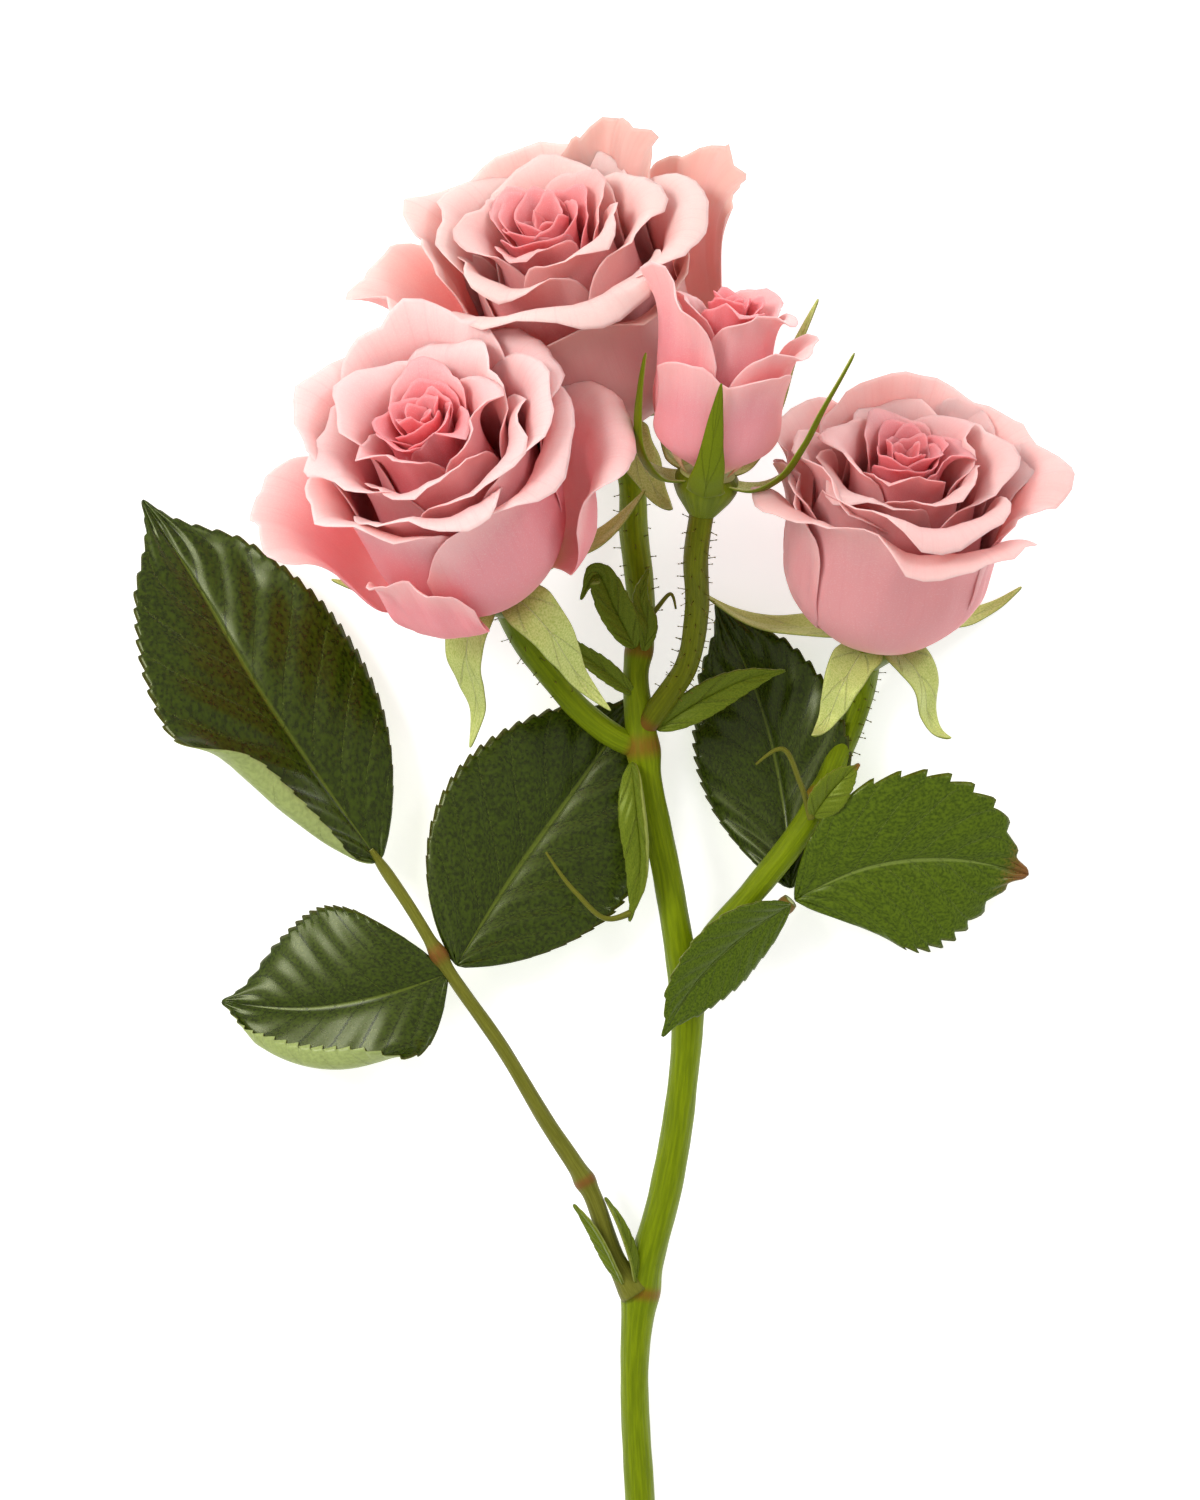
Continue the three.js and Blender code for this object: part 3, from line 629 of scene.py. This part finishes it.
# base is where the petals start, lean and tilt give the way that a bloom looks, and spiral_nodes is how many
# CAD petals its spiral stands for.
BLOOMS = {
    "left_bloom": {
        "base": (-23, 22.7, 27),
        "lean": -25,
        "tilt": 46,
        "radius": 17.2,
        "height": 41,
        "turn": 20,
        "last_layer": 0.68,
        "skew": 0.1,
        "furled": 11,
        "spiral": 9,
        "spiral_nodes": 5,
        "material": PETAL,
        "outer": [
            [
                outer_petal(66, 0.8, 0, 70, tall=0.97, width=64, slope=0.03, roll=3),
                outer_petal(38, 0.9, 0, 100, tall=0.87, width=74, slope=0.09, roll=3),
                outer_petal(-24, 0.78, 0, 84, tall=0.93, width=56, slope=0.05, roll=3),
            ],
            [
                outer_petal(-66, 0.88, 0, 80, tall=0.88, width=62, roll=3),
                outer_petal(-42, 1.03, 3, 30, tall=0.56, width=28, slope=-0.06),
            ],
            [
                outer_petal(-112, 1.0, 18, 60, tall=0.84, width=42, slope=0.05, corner_drop=0.14),
                outer_petal(-138, 0.84, 0, 70, tall=1.02, width=58, roll=3),
            ],
            [
                outer_petal(165, 0.82, 0, 50, tall=1.04, width=60, peak=0.05),
                outer_petal(112, 0.88, 0, 120, tall=0.98, width=50, roll=3),
            ],
            [
                outer_petal(84, 1.04, 12, 150, tall=0.8, width=46, roll=2.2, corner_drop=0.3),
            ],
        ],
    },
    "top_bloom": {
        "base": (-4.9, 49.7, 12.1),
        "lean": -19.6,
        "tilt": 34,
        "radius": 18.5,
        "height": 40,
        "turn": 200,
        "last_layer": 0.66,
        "skew": 0.05,
        "furled": 11,
        "spiral": 9,
        "spiral_nodes": 5,
        "material": PETAL_TOP,
        "outer": [
            [
                outer_petal(-8, 0.84, 0, 130, tall=1.0, width=70, roll=2.4, slope=0.02),
                # Painted shade: this belly petal takes the faded colours to look shaded.
                outer_petal(22, 0.98, 0, 60, tall=0.76, width=76, material=PETAL_AGED_AND_SHADE),
            ],
            [
                outer_petal(-92, 1.0, 10, 60, tall=1.02, width=56, peak=0.05, frill=2.2),
                outer_petal(-60, 1.04, 8, 50, tall=0.84, width=42, frill=2),
            ],
            [
                outer_petal(-130, 0.84, 0, 60, tall=1.02, width=56, peak=0.06, frill=2.2),
                outer_petal(176, 0.82, 0, 50, tall=1.0, width=66, frill=2),
            ],
            [
                outer_petal(138, 0.94, 0, 50, tall=1.03, width=30, peak=0.06, frill=3, material=PETAL_AGED_AND_SHADE),
                outer_petal(72, 0.9, 0, 120, tall=0.98, width=56, roll=2.5),
            ],
            [
                outer_petal(108, 1.05, 13, 40, tall=0.96, width=34, peak=0.04, frill=2, **AGED_BACK),
            ],
        ],
    },
    "right_bloom": {
        "base": (37.6, 15, 13),
        "lean": 9.7,
        "tilt": 40,
        "radius": 15.5,
        "height": 38.5,
        "turn": 80,
        "last_layer": 0.62,
        "skew": -0.01,
        "furled": 11,
        "spiral": 9,
        "spiral_nodes": 5,
        # painted shade: the darker, muted copy of the petal colours
        "material": PETAL_RIGHT_SHADED,
        "outer": [
            [
                outer_petal(180, 0.84, 0, 60, tall=0.99, width=74, frill=2.2),
                outer_petal(134, 0.94, 0, 70, tall=0.98, width=50, frill=2.2),
            ],
            [
                outer_petal(10, 0.84, 0, 90, tall=1.04, width=80, slope=0.02, roll=3, peak=0.03),
                outer_petal(-60, 0.74, 0, 60, tall=1.0, width=66),
            ],
            [
                outer_petal(-2, 1.0, 0, 90, tall=0.95, width=68, frill=2, **FLARED),
            ],
            [
                outer_petal(-98, 0.96, 3, 50, tall=0.95, width=64),
                outer_petal(-72, 1.04, 3, 30, tall=0.88, width=34, peak=0.05),
            ],
            [
                outer_petal(98, 1.0, 2, 60, tall=0.97, width=44, peak=0.08, frill=2),
            ],
        ],
    },
    "bud": {
        "base": (10.5, 39.2, 37),
        "lean": 8,
        "tilt": 22,
        "radius": 10.5,
        "height": 30,
        "turn": 0,
        "last_layer": 0.45,
        "skew": 0.0,
        "furled": 7,
        "spiral": 4,
        "spiral_nodes": 2,
        "material": PETAL,
        "outer": [
            [
                outer_petal(66, 0.8, 2, 50, tall=0.88, width=62),
            ],
            [
                outer_petal(-64, 0.88, 1, 40, tall=1.08, width=60, peak=0.08),
            ],
            [
                outer_petal(6, 1, 2, 40, tall=0.76, width=70, peak=-0.12, corner_drop=0.14),
            ],
        ],
    },
}


def bloom_axis(bloom):
    lean, tilt = math.radians(bloom["lean"]), math.radians(bloom["tilt"])
    return np.array([math.sin(lean) * math.cos(tilt), math.cos(lean) * math.cos(tilt), math.sin(tilt)])


def from_bloom(bloom, points):
    """Points of a bloom's own frame in the layout. Azimuth 0 faces up and back along the stem, 90 right."""
    axis = bloom_axis(bloom)
    lean = math.radians(bloom["lean"])
    right = np.array([math.cos(lean), -math.sin(lean), 0.0])
    front = np.cross(right, axis)
    return np.array(bloom["base"], float) + points @ np.array([front, right, axis])


def below(bloom, distance):
    return tuple(np.array(bloom["base"]) - bloom_axis(bloom) * distance)


def make_petals(name, bloom):
    """Every petal of a bloom. The outer ones come in groups, one for each outer petal of the CAD frame."""
    nodes = bloom["spiral_nodes"]
    spiral = spiral_petals(bloom, bloom["spiral"])
    furled = [(petal, f"{name}_heart") for petal in furled_petals(bloom, bloom["furled"])]
    inner = [(petal, f"{name}_petal_{1 + i * nodes // len(spiral):02d}") for i, petal in enumerate(spiral)]
    outer = []
    for number, group in enumerate(bloom["outer"], nodes + 1):
        outer += [(petal, f"{name}_petal_{number:02d}") for petal in group]
    kinds = [("furled", "heart_petal", furled), ("spiral", "petal", inner), ("outer", "petal", outer)]
    for kind, slot, petals in kinds:
        for i, (petal, node) in enumerate(petals):
            grid, marks = petal_grid(bloom, petal)
            material = petal.get("material", bloom["material"])
            points = from_bloom(bloom, grid)
            sheet_piece(f"{name}_{kind}_{i + 1:02d}", points, PETAL_THICKNESS, marks, material, slot, [node])


# ---- Stems ----
GAP = 0.3
NECK = 6


def neck(bloom, radius):
    return [
        (*below(bloom, HIP_LENGTH + GAP + NECK), radius),
        (*below(bloom, HIP_LENGTH), radius),
    ]


MAIN_STEM = [
    (1.2, -170, 2.45, 2.4),
    (0.3, -130, 3.4, 2.4),
    (-0.5, -98, 4.6, 2.45),
    (0.4, -90, 5, 2.75),
    (4.1, -75.4, 6.2, 2.6),
    (6.8, -59, 7.6, 2.45),
    (7.6, -44, 9, 2.5),
    (6.6, -37, 9.6, 2.5),
    (4.4, -24, 10.6, 2.3),
    (1.2, -8, 11.8, 2.3),
    (0, 1, 12, 2.4),
    (-0.6, 8, 11.6, 2),
    (0.4, 15.5, 10.8, 2.1),
    (0, 23, 9, 2.3),
    (-0.9, 31, 6.8, 2.3),
    *neck(BLOOMS["top_bloom"], 2.2),
]
SIDE_STEMS = {
    "right_stem": [
        (7.4, -42, 9.1, 1.6),
        (11, -35.4, 9.4, 2.1),
        (18, -27, 9.6, 2.1),
        (24.5, -19, 9.4, 2.1),
        (28, -14, 9, 2.2),
        (31, -7.5, 7, 2),
        *neck(BLOOMS["right_bloom"], 2),
    ],
    "bud_stem": [
        (0.3, -1, 12.4, 1.6),
        (3.2, 3, 14.6, 1.9),
        (7.2, 9, 18.6, 1.9),
        (9, 18, 25, 1.9),
        *neck(BLOOMS["bud"], 2),
    ],
    "left_stem": [
        (0.6, -4, 12, 1.7),
        (-4.4, -1.6, 12.6, 2),
        (-9, 2, 12.8, 2),
        (-14, 7.6, 12.8, 2),
        *neck(BLOOMS["left_bloom"], 2),
    ],
}
CUT_SLANT = 0.9


def frame_shift():
    """How far the layout lies from the row frame, in millimetres, read from the main stem's low corner."""
    _, centres, radii, tangents, ring, angle = tube_grid(MAIN_STEM, 20, 300)
    points = centres[:, None] + ring * radii[:, None, None]
    points[0] += tangents[0] * (CUT_SLANT * radii[0] * np.cos(angle))[:, None]
    return np.array(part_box("main_stem")[0]) / MM - points.reshape(-1, 3).min(0)


SHIFT = frame_shift()


def place(points):
    return (np.asarray(points, float) + SHIFT) * MM


def make_stems():
    tube_piece(
        "stem_main",
        MAIN_STEM,
        28,
        420,
        STEM,
        "stem",
        ["main_stem"],
        slant=CUT_SLANT,
        bumps=[(0.36, 0.5, 3.0), (0.58, 0.35, 3.2), (0.765, 0.45, 2.6), (0.84, 0.35, 2.0)],
        blush=[(0.36, 1.6), (0.58, 2.0), (0.77, 2.6), (0.84, 1.6)],
    )
    for name, rows in SIDE_STEMS.items():
        tube_piece(
            name.replace("_stem", "_shoot"),
            rows,
            24,
            180,
            STEM_DARK if name == "bud_stem" else STEM,
            "stem",
            [name],
            bumps=[(0.6, 0.4, 1.8)] if name == "right_stem" else [],
            blush=[(0.6, 1.6)] if name == "right_stem" else [(0.04, 2.0)],
        )


# ---- Calyxes ----
SEPAL_THICKNESS = 0.5
SEPAL_TIP = 0.12  # half of a sepal's width at its tip
# A hip as (share of its radius, share of its length above its rim).
HIP_OUTLINE = [(0.42, -1.0), (0.6, -0.8), (0.86, -0.5), (1.0, -0.2), (0.97, -0.06), (0.86, 0.04)]

# A sepal's midline as [distance out from the hip's rim, height], from the hip to its tip.
SEPAL_LINES = {
    "hanging": [(-1.2, -1.0), (2.8, -1.4), (6.3, -5), (7.3, -11), (8.8, -17), (12.8, -21)],
    "reflexed": [(-1.2, -1.0), (2.8, -1.6), (6.3, -4), (8.3, -8), (10.8, -9.6), (13.8, -8.6)],
    "level": [(-1.2, -1.0), (2.8, -1.2), (7.8, -2), (12.8, -2.6), (17.8, -1.6), (22.8, 1)],
    "cupped": [(-1.2, -1.0), (3.8, -2), (8.8, -0.4), (12.4, 3), (14.8, 8), (16.2, 13)],
    "upright": [(-1.2, -1.0), (3, -0.6), (6.2, 3), (7.5, 8), (7.8, 14), (7.8, 20)],
    "spreading": [(-1.2, -1.0), (3, -0.6), (7, 2.6), (10.2, 9), (12.6, 17), (15.8, 26)],
}
# The azimuth of each bloom's first sepal, and the line of each of the five.
SEPALS = {
    "left_bloom": (22, ["hanging", "level", "cupped", "level", "hanging"]),
    "top_bloom": (10, ["reflexed", "level", "cupped", "cupped", "reflexed"]),
    "right_bloom": (-90, ["level", "reflexed", "reflexed", "level", "cupped"]),
    "bud": (0, ["upright", "spreading", "spreading", "upright", "upright"]),
}
SEPAL_WIDTHS = dict(hanging=4.4, reflexed=4.2, level=3.4, cupped=3.4, upright=3.3, spreading=2.6)


def sepal_grid(azimuth, line, across=15, along=60):
    """A sepal's middle surface in its bloom's frame. Its front is its inner face."""
    v = np.linspace(0, 1, along)
    u = np.linspace(-1, 1, across)
    rows = [(out, 0, up) for out, up in SEPAL_LINES[line]]
    mid = spline(rows, v)
    tangent = unit(np.gradient(mid, axis=0))
    inward = np.stack([-tangent[:, 2], np.zeros(along), tangent[:, 0]], -1)
    taper = np.clip((1 - v) / 0.92, 0, 1) ** 0.85
    half = SEPAL_WIDTHS[line] * taper * mix(0.72, 1, smooth(v / 0.18)) + SEPAL_TIP
    v2, u2 = np.meshgrid(v, u, indexing="ij")
    seed = azimuth / 30
    half = half[:, None] * (1 + 0.08 * ripple(0 * u2 + 2 * np.sign(u2), 9 * v2, seed))
    fold = half * (0.34 * np.abs(u2) ** 1.3) * (1 - 0.4 * v2) + 0.7 * ripple(0 * v2, 3 * v2, seed) * v2
    sway = 1.4 * v2**2 * math.sin(2.3 * seed)
    points = mid[:, None] + inward[:, None] * fold[..., None]
    sideways = -u2 * half + sway
    turn = math.radians(azimuth)
    out = HIP_RADIUS + points[..., 0]
    grid = np.stack(
        [
            out * math.cos(turn) - sideways * math.sin(turn),
            out * math.sin(turn) + sideways * math.cos(turn),
            points[..., 2],
        ],
        -1,
    )
    return grid, np.stack([u2, v2, np.zeros_like(u2)], -1)


def make_calyx(name, bloom):
    rows = []
    for share, up in HIP_OUTLINE:
        rows.append((*from_bloom(bloom, np.array([0, 0, up * HIP_LENGTH])), share * HIP_RADIUS))
    node = f"{name}_calyx"
    tube_piece(f"{name}_hip", rows, 40, 50, HIP, "calyx", [node])
    first, lines = SEPALS[name]
    for i, line in enumerate(lines):
        grid, marks = sepal_grid(first + i * 360 / len(lines), line)
        points = from_bloom(bloom, grid)
        sheet_piece(f"{name}_sepal_{i + 1}", points, SEPAL_THICKNESS, marks, SEPAL, "calyx", [node])


# ---- Leaves and bracts ----
LEAF_THICKNESS = 0.45
TOOTH_PEAK = 0.8  # where along a tooth its point is
LEFT_STALK = [
    (-0.6, -91.5, 6.2, 1.9),
    (-3.4, -87, 6.6, 1.7),
    (-7.9, -75, 7.6, 1.5),
    (-15.1, -63.5, 9, 1.3),
    (-22.2, -51.6, 10, 1.15),
    (-30.5, -39.7, 10.4, 1.05),
    (-37.3, -28.6, 9.6, 0.95),
    (-41.4, -22.6, 8.8, 0.85),
    (-43.2, -20, 9.2, 0.45),
]
RIGHT_STALK = [
    (7.6, -42.6, 7.6, 1.4),
    (13, -38.8, 6.6, 1.2),
    (19.4, -33, 7.4, 1.05),
    (24.3, -28.2, 9, 1),
]


def leaflet(spine, width, facing, **changes):
    """A blade along a spine, with its upper face towards facing. curls are (side, share, reach, degrees)."""
    shape = {
        "fold": 12,
        "droop": 8,
        "blunt": 0.85,
        "teeth": 26,
        "depth": 0.6,
        "quilt": 0.38,
        "wave": 0.7,
        "browning": 0,
        "curls": (),
    }
    return shape | {"spine": spine, "width": width, "facing": facing} | changes


LEAFLETS = {
    "left_leaf_end": leaflet(
        [(-41.9, -21.9, 8.6), (-52.4, -7.1, 9.6), (-62.7, 8.1, 8.6), (-71, 22, 5), (-80.4, 36.4, 0.8)],
        17,
        (0.25, 0.15, 1),
        curls=((-1, 0.22, 0.2, 165), (1, 0.75, 0.2, 30)),
    ),
    "left_leaf_outer": leaflet(
        [(-31, -40, 10.4), (-41, -43.4, 10.6), (-53, -45.6, 8), (-67.4, -44.6, 4)],
        16,
        (0.1, 0.2, 1),
        teeth=20,
        quilt=0.12,
        curls=((-1, 0.58, 0.36, 165),),
    ),
    "left_leaf_inner": leaflet(
        [(-29.4, -38.6, 9.4), (-21, -25, 7), (-11, -11, 5), (0.8, 5.4, 3.4)],
        17,
        (-0.1, -0.15, 1),
        teeth=23,
    ),
    "right_leaf_end": leaflet(
        [(25, -28, 9), (37, -22.8, 11), (50, -21.6, 9), (62.7, -24, 5)],
        14.5,
        (0, -0.2, 1),
        teeth=13,
        depth=1.3,
        browning=1,
        blunt=0.95,
    ),
    "right_leaf_back": leaflet(
        [(24.4, -26.2, 7.4), (23.4, -14, 4.6), (20, 2, 3.6), (12.4, 19.8, 4)],
        12.5,
        (-0.2, 0, 1),
        teeth=20,
    ),
    "right_leaf_front": leaflet(
        [(24.2, -28.8, 10.8), (16, -34.4, 14), (8.8, -41.6, 15.2), (3.6, -49.8, 15.2)],
        6,
        (0.3, -0.5, 1),
        teeth=11,
        depth=0.4,
        quilt=0.15,
    ),
}
BRIGHT_LEAFLETS = ("right_leaf_end", "right_leaf_front")
# How a bract or a scale differs from a leaflet.
SMALL_BLADE = {"teeth": 10, "depth": 0.15, "quilt": 0.1, "fold": 26, "droop": 4, "blunt": 0.7}
BRACTS = {
    "crown_bract": leaflet(
        [(2.6, -0.6, 12.6), (10.6, 4.4, 13.6), (16, 7, 13.2), (23.4, 8.8, 11.8)],
        2.9,
        (0, -0.3, 1),
    ),
    "hanging_bract": leaflet(
        [(-1.2, -6, 15), (-0.4, -14, 17.4), (0.2, -22, 16.6), (-1.6, -31.4, 14)],
        3,
        (-0.6, 0, 1),
        curls=((-1, 0.4, 0.3, 70),),
    ),
    "upper_bract": leaflet(
        [(-0.8, 12.4, 14.4), (-4, 18.5, 16.6), (-7, 24, 17.4), (-9.4, 20, 18.4)],
        2.9,
        (0, 0.3, 1),
    ),
    "right_bract": leaflet(
        [(27.8, -14.6, 12.6), (30.6, -10.6, 14.2), (35.2, -6.2, 14)],
        3,
        (0.3, 0, 1),
        browning=1,
    ),
}
# Small blades that grow beside a bract or a stalk, with the node each one belongs to.
SCALES = {
    "stipule_left": (
        "left_leaf_stalk",
        leaflet([(-2.6, -90, 7.8), (-5, -85, 8.8), (-8, -80, 9.2), (-10.6, -77, 9)], 1.7, (-1, 0, 0.6)),
    ),
    "stipule_right": (
        "left_leaf_stalk",
        leaflet([(-0.6, -90, 7.6), (-1.6, -85, 8.6), (-3.4, -80, 8.6), (-5.6, -76, 8)], 1.5, (1, 0.3, 0.6)),
    ),
    "crown_scale": (
        "crown_bract",
        leaflet([(-1, 5, 13.2), (-6, 9, 15), (-11, 13, 15.6), (-13, 16.4, 15)], 1.7, (0, 0.3, 1)),
    ),
    "upper_scale": (
        "upper_bract",
        leaflet([(0.6, 12, 14), (1.2, 16, 15), (0, 20, 15.4), (1.4, 25, 15)], 1.6, (0.3, 0, 1)),
    ),
}
# Thin curling tips, with the node each one belongs to.
TENDRILS = {
    "hanging_tendril": (
        "hanging_bract",
        [(-1.4, -30, 14.3, 0.6), (-5, -31, 14.8, 0.45), (-10, -27, 15.2, 0.4), (-15, -20.3, 15, 0.2)],
    ),
    "right_tendril": (
        "right_bract",
        [(27.5, -15, 12.6, 0.6), (25.6, -9, 14.5, 0.45), (22.8, -3.8, 15, 0.4), (18.6, -6.3, 14.6, 0.2)],
    ),
    "upper_tendril": (
        "upper_bract",
        [(0.4, 15, 13, 0.5), (3, 19, 14, 0.4), (5, 21, 14.4, 0.3), (5.8, 18.6, 14.2, 0.18)],
    ),
}


def leaflet_grid(shape, across=35, rows_per_tooth=6):
    """A leaflet's middle surface in the layout, with forward-pointing teeth, and its marks."""
    teeth = shape["teeth"]
    along = teeth * rows_per_tooth + 1
    v = np.linspace(0, 1, along)
    u = np.linspace(-1, 1, across)
    mid = spline(shape["spine"], v)
    length = np.linalg.norm(np.diff(mid, axis=0), axis=1).sum()
    tangent = unit(np.gradient(mid, axis=0))
    side = unit(np.cross(tangent, unit(np.array(shape["facing"], float))))
    normal = np.cross(side, tangent)
    half = shape["width"] * np.clip(np.sin(math.pi * v ** shape["blunt"]), 0, 1) ** 0.85
    half = half * (1 - 0.6 * smooth((v - 0.78) / 0.22)) + 0.15
    v2, u2 = np.meshgrid(v, u, indexing="ij")
    away = np.abs(u2)
    seed = length / 7
    angle = math.radians(shape["fold"]) - math.radians(2 * shape["droop"]) * away
    angle = angle + 0.16 * shape["wave"] * ripple(1.5 * np.sign(u2), 7 * v2, seed) * away
    for which, middle_share, reach, degrees in shape["curls"]:
        window = np.exp(-(((v2 - middle_share) / reach) ** 4))
        turned = smooth((away - 0.5) / 0.42) * (np.sign(u2) == which)
        angle = angle + math.radians(degrees) * window * turned
    step = 2 / (across - 1)
    middle = across // 2
    sideways = np.zeros_like(u2)
    lift = np.zeros_like(u2)
    for j in range(1, middle + 1):
        for sign in (-1, 1):
            k = middle + sign * j
            mean = 0.5 * (angle[:, k] + angle[:, k - sign])
            sideways[:, k] = sideways[:, k - sign] + sign * step * half * np.cos(mean)
            lift[:, k] = lift[:, k - sign] + step * half * np.sin(mean)
    rank = (v2 - 0.3 * away**0.8) * LEAF_VEINS
    lift = lift + shape["quilt"] * np.sin(math.pi * away) * (0.5 - 0.5 * np.cos(2 * math.pi * rank))
    lift = lift - 0.3 * np.exp(-((away / 0.06) ** 2)) * np.sin(math.pi * v2)
    tooth = (v2 * teeth) % 1.0
    point = np.where(tooth < TOOTH_PEAK, tooth / TOOTH_PEAK, (1 - tooth) / (1 - TOOTH_PEAK))
    margin = smooth((away - 0.86) / 0.14) * np.sin(math.pi * np.clip(v2, 0, 1)) ** 0.4
    sideways = sideways + np.sign(u2) * shape["depth"] * margin * (point - 0.4)
    forward = shape["depth"] * margin * point * 0.9 + 0.05 * half[:, None] * away**2
    grid = (
        mid[:, None]
        + side[:, None] * sideways[..., None]
        + normal[:, None] * lift[..., None]
        + tangent[:, None] * forward[..., None]
    )
    return grid, np.stack([u2, v2, np.full_like(u2, shape["browning"])], -1)


def make_blade(name, shape, thickness, material, slot, node):
    grid, marks = leaflet_grid(shape)
    sheet_piece(name, grid, thickness, marks, material, slot, [node])


def make_leaves():
    tube_piece(
        "left_stalk",
        LEFT_STALK,
        20,
        200,
        STALK,
        "stem",
        ["left_leaf_stalk"],
        bumps=[(0.0, 0.7, 3.0), (0.24, 0.35, 1.4), (0.76, 0.5, 1.8)],
        blush=[(0.24, 1.2), (0.76, 2.2)],
    )
    tube_piece(
        "right_stalk",
        RIGHT_STALK,
        20,
        100,
        STALK,
        "stem",
        ["right_leaf_stalk"],
        bumps=[(0.08, 0.5, 1.8), (0.95, 0.5, 1.6)],
        blush=[(0.08, 2.0), (0.95, 1.8)],
    )
    for name, shape in LEAFLETS.items():
        material = LEAF_BRIGHT if name in BRIGHT_LEAFLETS else LEAF
        make_blade(name, shape, LEAF_THICKNESS, material, "leaf", f"{name}_leaflet")
    for name, shape in BRACTS.items():
        make_blade(f"{name}_blade", shape | SMALL_BLADE, SEPAL_THICKNESS, BRACT, "bract", name)
    for name, (node, shape) in SCALES.items():
        slot = "stem" if node.endswith("stalk") else "bract"
        make_blade(name, shape | SMALL_BLADE, SEPAL_THICKNESS, BRACT, slot, node)
    for name, (node, rows) in TENDRILS.items():
        tube_piece(name, rows, 10, 60, STALK, "bract", [node])


HAIR_SIDES = 24
HAIR_STEPS = 200
HAIR_BLUSH = 0.6
HAIR_ROOT = 0.15  # how deep a hair starts in the stem


def make_hairs(name, rows, count, start, stop, node):
    """Short stiff hairs with a knob on top, spread over part of a stem's length, as one piece."""
    _, centres, radii, tangents, ring, _ = tube_grid(rows, HAIR_SIDES, HAIR_STEPS)
    points, faces = [], []
    for i in range(count):
        row = int(mix(start, stop, (i + 0.5) / count) * HAIR_STEPS)
        turn = int(i * GOLDEN_ANGLE / 15) % HAIR_SIDES
        out = unit(ring[row, turn] + 0.25 * math.sin(7 * i) * tangents[row])
        side = unit(np.cross(out, tangents[row]))
        rise = np.cross(side, out)
        foot = centres[row] + ring[row, turn] * (radii[row] - HAIR_ROOT)
        tall = 0.9 + 0.35 * math.sin(3.7 * i)
        profile = [(0.0, 0.11), (0.75 * tall, 0.05), (0.85 * tall, 0.12), (tall, 0.12), (tall + 0.1, 0.03)]
        base = len(points)
        corners = [(1, 0), (0, 1), (-1, 0), (0, -1)]
        for height, radius in profile:
            centre = foot + out * (height + HAIR_ROOT)
            points += [centre + radius * (x * side + y * rise) for x, y in corners]
        for k in range(len(profile) - 1):
            for c in range(4):
                a, b = base + 4 * k + c, base + 4 * k + (c + 1) % 4
                faces.append((a, a + 4, b + 4, b))
        faces.append(tuple(base + c for c in range(4)))
        faces.append(tuple(base + 4 * (len(profile) - 1) + c for c in (3, 2, 1, 0)))
    spot = np.zeros((len(points), 3))
    spot[:, 2] = HAIR_BLUSH
    add_piece(name, np.array(points), faces, STALK, "stem", [node], spot=spot)


# ---- Scene ----
for bloom_name, bloom_shape in BLOOMS.items():
    make_petals(bloom_name, bloom_shape)
    make_calyx(bloom_name, bloom_shape)
make_stems()
make_leaves()
make_hairs("bud_hairs", SIDE_STEMS["bud_stem"], 90, 0.2, 0.98, "bud_stem")
make_hairs("right_hairs", SIDE_STEMS["right_stem"], 40, 0.72, 0.98, "right_stem")
make_hairs("left_hairs", SIDE_STEMS["left_stem"], 30, 0.4, 0.98, "left_stem")
make_hairs("top_hairs", MAIN_STEM, 40, 0.86, 0.98, "main_stem")

FLOOR_SIZE = 4.0
FLOOR_DROP = 0.0002  # how far the floor lies below the table's level
CAMERA_HEIGHT = 1.225
CAMERA_LENS = 181.44
VIEW_CENTRE = (-6.35, -3.97)  # the layout's point under the camera


def make_floor():
    bpy.ops.mesh.primitive_plane_add(size=FLOOR_SIZE, location=(0, 0, -FLOOR_DROP))
    floor = bpy.context.object
    floor.name = "floor"
    made = Shader("floor", Roughness=0.9, Specular_IOR_Level=0.1)
    made.surface.inputs["Base Color"].default_value = (0.8, 0.8, 0.8, 1)
    made.surface.inputs["Emission Color"].default_value = (1, 1, 1, 1)
    made.surface.inputs["Emission Strength"].default_value = 0.55
    floor.data.materials.append(made.material)


def make_light(name, location, target, size, energy, tint):
    data = bpy.data.lights.new(name, "AREA")
    data.shape = "DISK"
    data.size = size
    data.energy = energy
    data.color = tint
    lamp = bpy.data.objects.new(name, data)
    bpy.context.scene.collection.objects.link(lamp)
    lamp.location = location
    lamp.rotation_mode = "QUATERNION"
    lamp.rotation_quaternion = (Vector(target) - Vector(location)).to_track_quat("-Z", "Y")


def make_camera():
    data = bpy.data.cameras.new("camera")
    camera = bpy.data.objects.new("camera", data)
    bpy.context.scene.collection.objects.link(camera)
    data.sensor_width = 36
    data.lens = CAMERA_LENS
    data.clip_end = 20
    camera.location = (*place((*VIEW_CENTRE, 0))[:2], CAMERA_HEIGHT)
    bpy.context.scene.camera = camera


def make_world():
    world = bpy.data.worlds.new("world")
    bpy.context.scene.world = world
    world.use_nodes = True
    background = world.node_tree.nodes["Background"]
    background.inputs["Color"].default_value = (1.0, 0.985, 0.97, 1)
    background.inputs["Strength"].default_value = 0.75


make_floor()
make_camera()
make_world()
make_light("key", (-0.7, 0.45, 0.9), (0, 0.03, 0.02), 0.45, 8, (1.0, 0.98, 0.95))
make_light("overhead", (0.8, 0.8, 0.9), (0, 0.02, 0.02), 0.35, 4, (0.96, 0.98, 1.0))
bpy.context.scene.view_settings.view_transform = "Standard"
